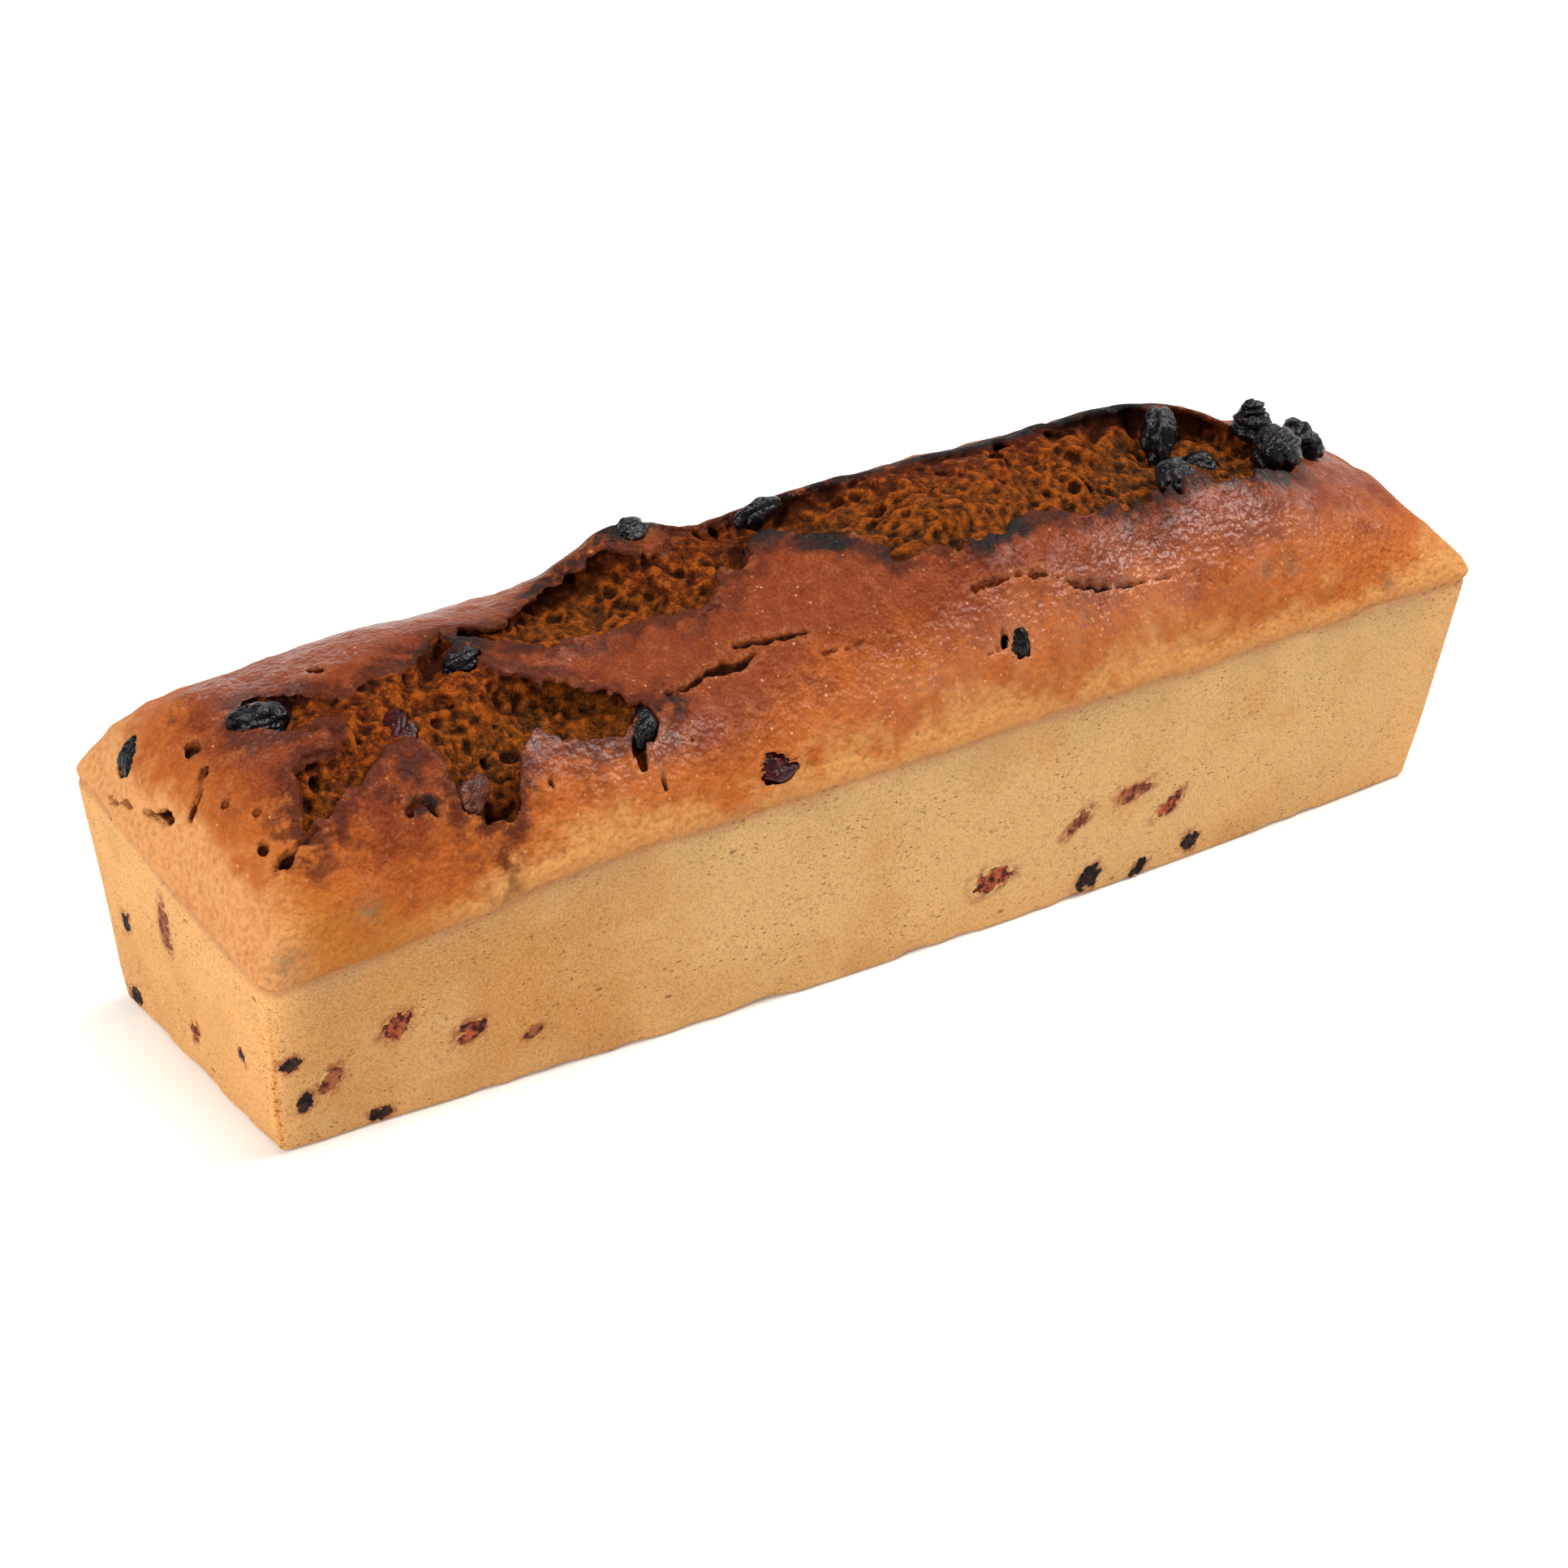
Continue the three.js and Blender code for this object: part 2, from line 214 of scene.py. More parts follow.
# Local swellings of the crust: (x, y, reach in x, reach in y, height). The first is a torn flap
# that stands up, and the others lie over fruit and gas bubbles just under the crust.
SWELLINGS = [
    (-33, 17, 13, 8, 7.5), (-47, 17, 10, 6, 2.2), (-79, 0, 5, 4, 1.6), (23, -20, 4, 3, 1.4),
    (-118, -35, 4, 2.5, 1.2), (-135, -34, 4, 2.5, 1.0), (-12, 3, 9, 4, 1.8), (-100, -27, 6, 5, 0.5),
    (-128, 17, 8, 6, 1.3), (109, -9, 9, 6, 0.8), (-55, -28, 6, 4, 0.8),
    (-60, 28, 16, 7, 0.8), (84, 26, 14, 7, -0.8), (22, 18, 36, 14, -1.7), (-135, 6, 5, 8, 0.8),
]

# Narrow cracks in the crust: half width, depth, and the points each one runs through.
CRACKS = [
    (0.6, 3.4, [(-47, -21.7), (-42, -21.4), (-38, -20.3), (-34, -20.4), (-30, -21), (-27, -20.5)]),
    (0.5, 2.6, [(-29.5, -17.8), (-24.5, -18.8), (-20.7, -19.3), (-15.6, -20.3)]),
    (0.35, 1.5, [(-15.3, -24.8), (-11.5, -25.2), (-6, -25.7)]),
    (0.36, 2.6, [(19.7, -25.4), (24.6, -25.8), (30.5, -26.1), (38.3, -27.5)]),
    (0.38, 3.0, [(38.3, -27.5), (43, -28.9), (48, -29.6), (54, -29.8), (60, -30.0), (66, -30.1)]),
    (0.35, 1.8, [(14.7, -32.8), (18.2, -32.6), (21.9, -32.2)]),
    (0.5, 2.4, [(-123, -25), (-128.8, -26.4), (-131.8, -26.6)]),
    (0.3, 1.4, [(-106, -27.8), (-103, -27.4), (-101, -29.2)]),
    (0.5, 2.0, [(-118, 22), (-100, 24), (-88, 23)]),
    (0.7, 2.5, [(12, 27), (30, 29), (42, 27)]),
    (0.5, 1.8, [(62, 22), (78, 24)]),
    (0.5, 1.8, [(-60, 30), (-48, 32), (-40, 31)]),
]

# Cracks in the crust of the left end, through points in y and z.
END_CRACKS = [
    (0.45, 2.2, [(20, 51), (13, 53), (5, 54.8), (2, 55.6)]),
    (0.9, 3.4, [(2, 55.6), (-1, 56.6), (-3.8, 58.4), (-4.6, 60)]),
    (0.5, 2.2, [(-4.6, 60), (-4, 63.3), (-2.5, 65.5)]),
]
END_CRACK_X = -124.0

# Small round holes in the crust: (x, y, radius, depth).
HOLES = [
    (-58, -29, 1.2, 3), (23, -31.8, 0.8, 3), (-55, -33, 0.7, 2), (-77, -29.5, 0.6, 2),
    (-89.5, -29.6, 1.8, 10), (-73, -14, 1.8, 8), (-132.4, 3.5, 1.1, 1.8), (-47, -30, 0.6, 2),
    (-132, -22, 0.9, 1.8), (-133, -11, 0.5, 1.2), (-130, -17, 0.5, 1.2), (40, 31, 1.1, 2),
    (-45, 30, 1.0, 2), (-20, 31, 0.8, 2), (95, 28, 0.9, 2), (-104, 9, 1.4, 8), (55, 15, 1.5, 6),
]

# Charred spots on the crust: (x, y, reach in x, reach in y, strength).
CHARS = [
    (-9, 5.5, 9, 5, 1.0), (2, -3.5, 7, 6, 1.0), (11, -13.5, 5, 3, 0.8), (25.5, -18, 4, 3.5, 1.1),
    (33, -17.5, 4, 2.5, 1.0), (62, -18.5, 30, 4, 0.45), (40, 18, 45, 3.5, 0.9),
    (40, 11, 36, 5, 0.4), (82, 15, 18, 3.5, 0.8),
    (-79, 1, 6, 4, 0.7), (-66, -3.5, 6, 2.5, 0.35), (-33, 17, 6, 4, 1.0), (-50, 14.5, 12, 3, 0.5),
    (-104, -24, 9, 5, 0.35), (-90, -30, 3, 3, 0.4), (-48, -24, 5, 3, 0.5), (-130, -24, 4, 4, 0.25),
    (-92, 2, 16, 3.5, 0.3), (-132, 12, 8, 6, 0.3), (98, -18, 14, 4, 0.5),
    (-103, -28.2, 2.6, 1.0, 0.8),
]

# Oily, shinier parts of the crust: (x, y, reach in x, reach in y, strength).
SHEENS = [
    (72, -26, 30, 8, 1.0), (106, -14, 20, 14, 0.8), (122, 0, 14, 18, 0.5), (18, -31, 42, 4.5, 0.9),
    (-60, -29, 20, 4.5, 0.9), (-112, 12, 14, 8, 0.7), (-122, -2, 9, 8, 0.6), (-76, 22, 44, 10, 1.0),
    (-104, 16, 18, 7, 0.7), (-75, -22, 8, 4, 0.8), (-64, -8, 12, 3, 0.4), (60, 26, 50, 6, 0.5),
    (30, -22, 10, 2, 0.5), (-92, -26, 5, 3, 0.8), (-33, 19, 8, 5, 0.7),
]

# Dimples and bumps low on the crust, most over fruit: (x, y, z, reach, rise).
BLEMISHES = [
    (-118.4, -35, 50, 2.6, -0.5), (-134.8, -36, 44.5, 2.8, -0.5), (-60, 36, 50, 2.6, -0.5),
    (118, -36, 52, 2.0, -0.4), (88, -32.7, 61.6, 1.6, -0.6), (94, -32.9, 61.3, 2.2, -0.7),
    (29, -35.2, 56.4, 2.2, 0.7), (28, -37, 47.5, 1.8, 0.5), (48.5, -37, 48, 1.6, 0.4),
    (119, -36.7, 49.5, 2.0, 0.4), (102, -35, 56, 1.8, 0.4),
]


def segments(points, closed):
    points = np.array(points, np.float32)
    ends = np.roll(points, -1, axis=0)
    return zip(points, ends) if closed else zip(points[:-1], ends[:-1])


def distance_to(points, closed, u=plan_x, v=plan_y):
    """Distance from places u, v, by default every grid column, to a line through the points."""
    nearest = np.float32(FAR_AWAY)
    for (u0, v0), (u1, v1) in segments(points, closed):
        length = (u1 - u0) ** 2 + (v1 - v0) ** 2
        t = np.clip(((u - u0) * (u1 - u0) + (v - v0) * (v1 - v0)) / length, 0, 1)
        away = np.hypot(u - u0 - t * (u1 - u0), v - v0 - t * (v1 - v0))
        nearest = np.minimum(nearest, away)
    return nearest


def inside_distance(outline):
    """Distance in plan from every grid column to an outline, positive inside it."""
    crossings = np.zeros((len(grid_x), len(grid_y)), int)
    for (x0, y0), (x1, y1) in segments(outline, True):
        if y0 != y1:
            spans = (y0 > plan_y) != (y1 > plan_y)
            crossings += spans & (plan_x < x0 + (plan_y - y0) / (y1 - y0) * (x1 - x0))
    return distance_to(outline, True) * np.where(crossings % 2 == 1, 1, -1)


def spot(x, y, reach_x, reach_y):
    """A smooth round hump, 1 at its middle, over every grid column."""
    return np.exp(-(((plan_x - x) / reach_x) ** 2) - ((plan_y - y) / reach_y) ** 2)


def humps(table):
    """The sum of a table's spots, each as high as its last number."""
    return sum(share * spot(x, y, reach_x, reach_y) for x, y, reach_x, reach_y, share in table)


ragged = 0.8 * noise(1, 7, 7) + 0.65 * noise(2, 2.8, 2.8) + 0.5 * noise(3, 1.3, 1.3)
split_inside = np.full((len(grid_x), len(grid_y)), -FAR_AWAY, np.float32)
split_depth = np.zeros_like(split_inside)
for outline, depth in SPLITS:
    inside = inside_distance(outline) + ragged
    split_depth = np.where(inside > split_inside, depth, split_depth)
    split_inside = np.maximum(split_inside, inside)
middle_part = smoothstep(plan_x, 0, 22) * smoothstep(-plan_x, -84, -68)
split_depth = split_depth * (1 - BACK_SLOPE * middle_part * smoothstep(plan_y, -13, 13))
split_depth = split_depth * (1 + 0.22 * noise(4, 16, 12))
undercut = UNDERCUT + sum(
    extra * spot(x, y, reach, reach * 0.6) for x, y, reach, extra in OVERHANGS
)
crack_wander = 0.45 * noise(6, 3.5, 3.5) + 0.55 * noise(7, 1.2, 1.2)
crack_edges = np.zeros_like(split_inside)
crack_cores = np.zeros_like(split_inside)
crack_fields = []
for half_width, crack_depth, points in CRACKS:
    away = distance_to(points, False) - half_width * (1 + crack_wander)
    crack_fields.append((away, half_width, crack_depth))
    edge = np.exp(-((away / CRACK_EDGE_REACH) ** 2)) * min(half_width, 0.8)
    crack_edges = np.maximum(crack_edges, edge)
    crack_cores = np.maximum(crack_cores, smoothstep(-away, -0.3, 0.1))
lip = np.exp(-np.maximum(-split_inside, 0) / LIP_REACH)
lip *= np.clip(0.6 + 0.6 * noise(5, 9, 9), 0, 1.8)
crust_lift = LIP_RISE * lip + humps(SWELLINGS) + CRACK_EDGE_RISE * crack_edges
oily = humps(SHEENS)
charred = humps(CHARS)
seam_wander = 0.7 * noise(8, 34, 20) + 0.25 * noise(9, 7, 7)


# ==== Dried fruit: shapes that both the fruit and the pockets in the loaf follow ====
SMALLEST_SIDE = 2e-8      # square metres; smaller sides are slivers with no sure direction
END_PREFIXES = ("left_", "right_")
FLUSH_PREFIXES = ("front_", "left_", "back_side_", "right_")
FLUSH_PROUD = 0.05        # how far flush fruit stands out of the wall, mm
WALL_LUMPS = 0.22         # unevenness of the tin-baked walls, mm, which ends above the base
WALL_FADE = 10.0
STAIN_REACH = 10.0        # how far fruit juice can stain the wall, mm
CORE_HEIGHT = 40.0        # height of the middle of the loaf, towards which fruit settles, mm
fruit_slots = {
    part["node"]: part["material_slot"]
    for part in frame["record"]["subparts"]
    if part["node"] != "loaf_body"
}

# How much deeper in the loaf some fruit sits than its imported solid, mm, and how much fuller it is.
SETTLING = {
    "cluster_scrap": (1.5, 1.5), "cluster_raisin_back": (-0.4, 1.2),
    "cluster_raisin_front": (0.0, 1.14), "cluster_raisin_right": (0.2, 1.16),
    "crust_raisin_left": (2.2, 1.15), "crust_raisin_right": (1.6, 1.15),
    "crust_raisin_front": (0.8, 1.05), "crust_raisin_end": (0.6, 1.15),
    "crust_cranberry_front": (0.9, 1.15), "torn_raisin": (1.0, 1.1), "strip_raisin": (2.2, 1.1),
    "split_raisin_right": (2.8, 1.0), "split_raisin_back": (2.2, 1.05),
    "split_cranberry": (0.4, 1.1),
}


class FruitShape:
    """The convex solid of one packed fruit, with an uneven skin of its own."""

    def __init__(self, name, index):
        mesh = frame["nodes"][name].data
        count = len(mesh.vertices)
        corners = np.empty(count * 3, np.float32)
        mesh.vertices.foreach_get("co", corners)
        corners = corners.reshape(-1, 3) / MM
        self.low, self.high = corners.min(0), corners.max(0)
        self.middle = corners.mean(0)
        sides = [side for side in mesh.polygons if side.area > SMALLEST_SIDE]
        self.normals = np.array([side.normal for side in sides], np.float32)
        centres = np.array([side.center for side in sides], np.float32) / MM
        sunk, fullness = SETTLING.get(name, (0.0, 1.0))
        self.reaches = ((centres - self.middle) * self.normals).sum(1) * fullness
        inward = np.array([0, -self.middle[1], CORE_HEIGHT - self.middle[2]])
        self.middle = self.middle + sunk * inward / np.linalg.norm(inward)
        self.flat = np.zeros(len(sides), bool)
        self.wall = 0 if name.startswith(END_PREFIXES) else 1
        self.flush = name.startswith(FLUSH_PREFIXES)
        rng = np.random.default_rng(SEED + 100 + index)
        self.waves = rng.normal(0, 3.2 if self.flush else 2.2, (6, 3)).astype(np.float32)
        self.phases = rng.uniform(0, 2 * np.pi, 6).astype(np.float32)
        if self.flush:
            self.follow_wall()

    def follow_wall(self):
        """Moves a flush fruit with the uneven wall around it, and keeps its face flat."""
        wall = self.wall
        cell = [np.searchsorted(axis, c) for axis, c in zip((grid_x, grid_y, grid_z), self.middle)]
        push = wall_lumps[tuple(cell)] * smoothstep(self.middle[2], 0, WALL_FADE) + FLUSH_PROUD
        outward = np.sign(self.middle[wall])
        self.middle[wall] += push * outward
        self.flat = self.normals[:, wall] * outward > 0.97
        self.waves[:, wall] = 0

    def radius(self, directions):
        """Distance from the middle to the skin along unit directions, mm."""
        facing = directions @ self.normals.T
        limits = np.where(facing > 1e-3, self.reaches / np.maximum(facing, 1e-3), FAR_AWAY)
        uneven = np.sin(directions @ self.waves.T + self.phases).sum(1, keepdims=True) / 6
        uneven = 1 + (0.45 if self.flush else 0.24) * uneven
        return np.where(self.flat, limits, limits * uneven).min(1)

    def cover(self, points):
        """Distance of points along the wall from a flush fruit's middle, 1 at its outline."""
        away = points - self.middle
        away[:, self.wall] = 0
        length = np.maximum(np.linalg.norm(away, axis=1), 1e-3)
        return length / self.radius(away / length[:, None])

    def carve(self, field, gap):
        """Takes the fruit's pocket, grown by gap, out of the field."""
        margin = 2.5 + gap
        spans = block_around((self.low + self.high) / 2, (self.high - self.low).max() / 2 + margin)
        mesh = np.meshgrid(grid_x[spans[0]], grid_y[spans[1]], grid_z[spans[2]], indexing="ij")
        away = np.stack(mesh, -1).reshape(-1, 3) - self.middle
        reach = np.maximum(np.linalg.norm(away, axis=1), 1e-3)
        outside = reach - self.radius(away / reach[:, None]) - gap
        block = field[tuple(spans)]
        np.maximum(block, -outside.reshape(block.shape), out=block)


wall_lumps = WALL_LUMPS * noise(13, 24, 18, 16)
fruit_shapes = {name: FruitShape(name, i) for i, name in enumerate(sorted(fruit_slots))}


# ==== The baked body as a field: negative inside ====
PORE_COUNT = 420
CRUST_LUMPS = 0.45        # unevenness of the crust: broad, fine and finest, mm
CRUST_RIPPLES = 0.16
CRUST_PEBBLES = 0.10
DEEPEST_DIP = 0.6
CRUMB_SET_BACK = 0.6
SMALLEST_PORE = 0.3       # radius of the crumb's pores, and how much larger some are, mm
PORE_SPREAD = 1.6
FLUSH_GAP = -0.4          # gap between fruit and its pocket, mm; fruit overlaps below 0
CRUST_GAP = 0.35
SPLIT_GAP = -0.15
CUT_FLOOR = 30.0          # no split, crack or hole reaches lower than this
SEAM_LOW = 34.0           # heights between which the rim line runs
SEAM_HIGH = 64.0
SEAM_DEPTH = 0.5          # the groove at the rim line, and the bulge of crust just over it
SEAM_BULGE = 0.5
FOOT_WEAR = 0.28          # wear along the bottom edge, which ends at FOOT_FADE
FOOT_FADE = 6.0


def body_field():
    """The loaf with its splits, cracks, holes and crumb."""
    smooth = outer_distance(X, Y, Z).astype(np.float32)
    over_rim = (Z - rim_height(X, Y)).astype(np.float32)
    on_top = smoothstep(over_rim, -1, 5)
    smooth -= on_top * crust_lift[:, :, None]
    depth = -smooth
    lumps = CRUST_LUMPS * noise(10, 20, 14, 14) + CRUST_RIPPLES * noise(11, 6, 5, 5)
    lumps = np.maximum(lumps, -DEEPEST_DIP)
    pebbles = CRUST_PEBBLES * noise(12, 1.8, 1.8, 1.8)
    field = smooth - on_top * (lumps + pebbles)
    field -= (1 - on_top) * wall_lumps * smoothstep(Z, 0, WALL_FADE)
    del lumps, pebbles, on_top
    around = slice(*np.searchsorted(grid_z, (SEAM_LOW, SEAM_HIGH)))
    over_seam = over_rim[:, :, around] - seam_wander[:, :, None]
    field[:, :, around] += SEAM_DEPTH * np.exp(-((over_seam / 0.7) ** 2))
    field[:, :, around] -= SEAM_BULGE * np.exp(-(((over_seam - 2.4) / 2.0) ** 2))
    del over_rim, over_seam
    foot = slice(0, np.searchsorted(grid_z, FOOT_FADE))
    worn = np.maximum(FOOT_WEAR * (noise(20, 13, 13) + noise(21, 3.4, 3.4)), 0)
    field[:, :, foot] += worn[:, :, None] * (1 - smoothstep(grid_z[foot], 0.5, FOOT_FADE))
    for x, y, z, reach, rise in BLEMISHES:
        i, j, k = block_around((x, y, z), 2.2 * reach)
        away = (X[i] - x) ** 2 + (Y[:, j] - y) ** 2 + (Z[:, :, k] - z) ** 2
        field[i, j, k] -= rise * np.exp(-away / reach**2)

    rough = 1.1 * noise(14, 7, 6, 6) - 0.8 * np.abs(noise(15, 3.4, 3.4, 3.4))
    rough += 0.25 * noise(16, 1.6, 1.6, 1.6) + 0.34 * noise(17, 1.0, 1.0, 1.0)
    rough += CRUMB_SET_BACK
    below_crust = smoothstep(depth, 0.7 * CRUST_THICKNESS, 1.8 * CRUST_THICKNESS)
    reach = split_inside[:, :, None] + undercut[:, :, None] * below_crust
    floor = split_depth[:, :, None] * (1 - np.exp(-np.maximum(reach, 0) / FLOOR_REACH))
    opening = np.maximum(depth - floor - rough * below_crust, -reach)
    cut(field, (slice(None), slice(None)), opening)
    del rough, reach, floor, opening

    for away, half_width, crack_depth in crack_fields:
        block = columns(away < CRACK_NEAR)
        narrowing = half_width * np.maximum(depth[block], 0) / crack_depth
        cut(field, block, away[block][:, :, None] + narrowing)
    end = slice(0, np.searchsorted(grid_x, END_CRACK_X))
    end_wander = 1 + 0.8 * noise(18, 1.5, 1.5, axes=(grid_y, grid_z))
    for half_width, crack_depth, points in END_CRACKS:
        away = distance_to(points, False, grid_y[:, None], grid_z) - half_width * end_wander
        narrowing = half_width * np.maximum(depth[end], 0) / crack_depth
        np.maximum(field[end], -(away + narrowing), out=field[end])
    for x, y, radius, hole_depth in HOLES:
        away = np.hypot(plan_x - x, (plan_y - y) * 0.8) - radius * (1 + 0.6 * crack_wander)
        block = columns(away < CRACK_NEAR)
        cut(field, block, np.maximum(away[block][:, :, None], (depth[block] - hole_depth) * 0.6))
    return field, depth


def block_around(place, reach):
    """The block of grid cells within reach of a place along every axis."""
    axes = (grid_x, grid_y, grid_z)
    return [slice(*np.searchsorted(a, (c - reach, c + reach))) for a, c in zip(axes, place)]


def columns(marked):
    """The smallest block of grid columns that holds every marked one."""
    i = np.flatnonzero(marked.any(1))
    j = np.flatnonzero(marked.any(0))
    return slice(i[0], i[-1] + 1), slice(j[0], j[-1] + 1)


def cut(field, block, opening):
    """Takes an opening, negative inside it, out of the upper part of a block of the field."""
    above = len(grid_z) - np.count_nonzero(grid_z > CUT_FLOOR)
    target = field[block][:, :, above:]
    np.maximum(target, -opening[:, :, above:], out=target)


def pocket_gap(name):
    if name.startswith(FLUSH_PREFIXES):
        return FLUSH_GAP
    return CRUST_GAP if name.startswith(("crust_", "torn_")) else SPLIT_GAP


def open_pores(field, depth, count):
    """Cuts round pores into the crumb that the splits lay open."""
    rng = np.random.default_rng(SEED + 50)
    in_crumb = (np.abs(field) < STEP) & (depth > 2.2) & (Z > 34) & (np.abs(X) < 136)
    in_crumb &= (split_inside > -3)[:, :, None]
    places = np.flatnonzero(in_crumb)
    for place in rng.choice(places, count, replace=False):
        i, j, k = np.unravel_index(place, field.shape)
        radius = SMALLEST_PORE + PORE_SPREAD * rng.random() ** 3
        cells = int(radius / STEP) + 2
        block = tuple(slice(middle - cells, middle + cells) for middle in (i, j, k))
        stretch = rng.uniform(0.7, 1.3, 3)
        dx = (X[block[0]] - grid_x[i]) / stretch[0]
        dy = (Y[:, block[1]] - grid_y[j]) / stretch[1]
        dz = (Z[:, :, block[2]] - grid_z[k]) / stretch[2]
        np.maximum(field[block], radius - np.sqrt(dx**2 + dy**2 + dz**2), out=field[block])


def skin(field):
    """Skins the field by surface nets: one vertex in each cell that the surface crosses."""
    sizes = np.array(field.shape)
    inside = field < 0
    corner_sum = np.zeros(sizes - 1, np.uint8)
    corners = [(a, b, c) for a in (0, 1) for b in (0, 1) for c in (0, 1)]
    for a, b, c in corners:
        corner_sum += inside[a : sizes[0] - 1 + a, b : sizes[1] - 1 + b, c : sizes[2] - 1 + c]
    cells = np.argwhere((corner_sum > 0) & (corner_sum < 8))
    values = {corner: field[tuple((cells + corner).T)] for corner in corners}
    total = np.zeros((len(cells), 3))
    crossings = np.zeros((len(cells), 1))
    for start in corners:
        for axis in range(3):
            if start[axis] == 0:
                end = tuple(1 if i == axis else start[i] for i in range(3))
                a, b = values[start], values[end]
                crosses = (a < 0) != (b < 0)
                place = np.tile(np.array(start, float), (len(cells), 1))
                place[:, axis] = np.where(crosses, a / np.where(crosses, a - b, 1), 0)
                total += place * crosses[:, None]
                crossings += crosses[:, None]
    origin = np.array([grid_x[0], grid_y[0], grid_z[0]])
    vertices = origin + (cells + total / crossings) * STEP
    number = np.full(corner_sum.shape, -1, np.int32)
    number[tuple(cells.T)] = np.arange(len(cells))

    quads = []
    for axis in range(3):
        side, other = [i for i in range(3) if i != axis]
        head = [slice(1, -1)] * 3
        head[axis] = slice(0, -1)
        tail = list(head)
        tail[axis] = slice(1, None)
        edges = np.argwhere(inside[tuple(head)] != inside[tuple(tail)])
        edges += [0 if i == axis else 1 for i in range(3)]
        around = []
        for step_side, step_other in ((0, 0), (1, 0), (1, 1), (0, 1)):
            cell = edges.copy()
            cell[:, side] -= step_side
            cell[:, other] -= step_other
            around.append(number[tuple(cell.T)])
        faces = np.stack(around, 1)
        outward = inside[tuple(edges.T)] if axis != 1 else ~inside[tuple(edges.T)]
        faces[~outward] = faces[~outward][:, ::-1]
        quads.append(faces)
    return vertices, np.concatenate(quads)


def largest_piece(vertices, quads):
    """Drops crumbs and closed bubbles that aren't joined to the rest."""
    label = np.arange(len(vertices))
    edges = np.concatenate([quads[:, [0, 1]], quads[:, [1, 2]], quads[:, [2, 3]]])
    while True:
        least = np.minimum(label[edges[:, 0]], label[edges[:, 1]])
        updated = label.copy()
        np.minimum.at(updated, edges[:, 0], least)
        np.minimum.at(updated, edges[:, 1], least)
        updated = updated[updated]
        updated = updated[updated]
        if np.array_equal(updated, label):
            break
        label = updated
    keep = label == np.bincount(label).argmax()
    renumbered = np.cumsum(keep) - 1
    return vertices[keep], renumbered[quads[keep[quads[:, 0]]]]


def sample_plan(values, points):
    """Values of a plan field at points, straight between the grid columns."""
    u = np.clip((points[:, 0] - grid_x[0]) / STEP, 0, len(grid_x) - 1.001)
    v = np.clip((points[:, 1] - grid_y[0]) / STEP, 0, len(grid_y) - 1.001)
    i, j = u.astype(int), v.astype(int)
    near = lerp(values[i, j], values[i + 1, j], u - i)
    far = lerp(values[i, j + 1], values[i + 1, j + 1], u - i)
    return lerp(near, far, v - j)


def mesh_object(name, vertices, faces):
    """A smooth-shaded mesh object from points in mm and faces of equal corner count."""
    mesh = bpy.data.meshes.new(name)
    corners = faces.shape[1]
    mesh.vertices.add(len(vertices))
    mesh.vertices.foreach_set("co", (vertices * MM).astype(np.float32).ravel())
    mesh.loops.add(faces.size)
    mesh.loops.foreach_set("vertex_index", faces.astype(np.int32).ravel())
    mesh.polygons.add(len(faces))
    mesh.polygons.foreach_set("loop_start", np.arange(0, faces.size, corners, dtype=np.int32))
    mesh.update(calc_edges=True)
    mesh.shade_smooth()
    piece = bpy.data.objects.new(name, mesh)
    bpy.context.scene.collection.objects.link(piece)
    return piece


def paint(piece, name, channels):
    """Stores up to four numbers per vertex as a colour attribute."""
    values = np.ones((len(piece.data.vertices), 4), np.float32)
    for index, channel in enumerate(channels):
        values[:, index] = channel
    layer = piece.data.color_attributes.new(name, "FLOAT_COLOR", "POINT")
    layer.data.foreach_set("color", values.ravel())


def hollowness(vertices, quads, rounds):
    """How far each vertex lies below its smoothed surroundings, mm: positive in hollows."""
    starts = quads.ravel()
    ends = np.roll(quads, -1, axis=1).ravel()
    count = len(vertices)
    degree = np.maximum(np.bincount(ends, minlength=count), 1)
    smoothed = vertices
    for _ in range(rounds):
        sums = [np.bincount(ends, smoothed[starts, axis], count) for axis in range(3)]
        smoothed = np.stack(sums, 1) / degree[:, None]
    diagonals = vertices[quads[:, 2]] - vertices[quads[:, 0]]
    others = vertices[quads[:, 3]] - vertices[quads[:, 1]]
    facing = np.repeat(np.cross(diagonals, others), 4, axis=0)
    normal = np.stack([np.bincount(starts, facing[:, axis], count) for axis in range(3)], 1)
    normal /= np.maximum(np.linalg.norm(normal, axis=1), 1e-9)[:, None]
    return ((smoothed - vertices) * normal).sum(1)


def fruit_stain(vertices):
    """How strongly the juice of flush fruit has stained the wall around it."""
    stain = np.zeros(len(vertices))
    for shape in fruit_shapes.values():
        if shape.flush:
            near = np.flatnonzero((np.abs(vertices - shape.middle) < STAIN_REACH).all(1))
            around = smoothstep(-shape.cover(vertices[near]), -1.7, -1.0)
            stain[near] = np.maximum(stain[near], around)
    return stain


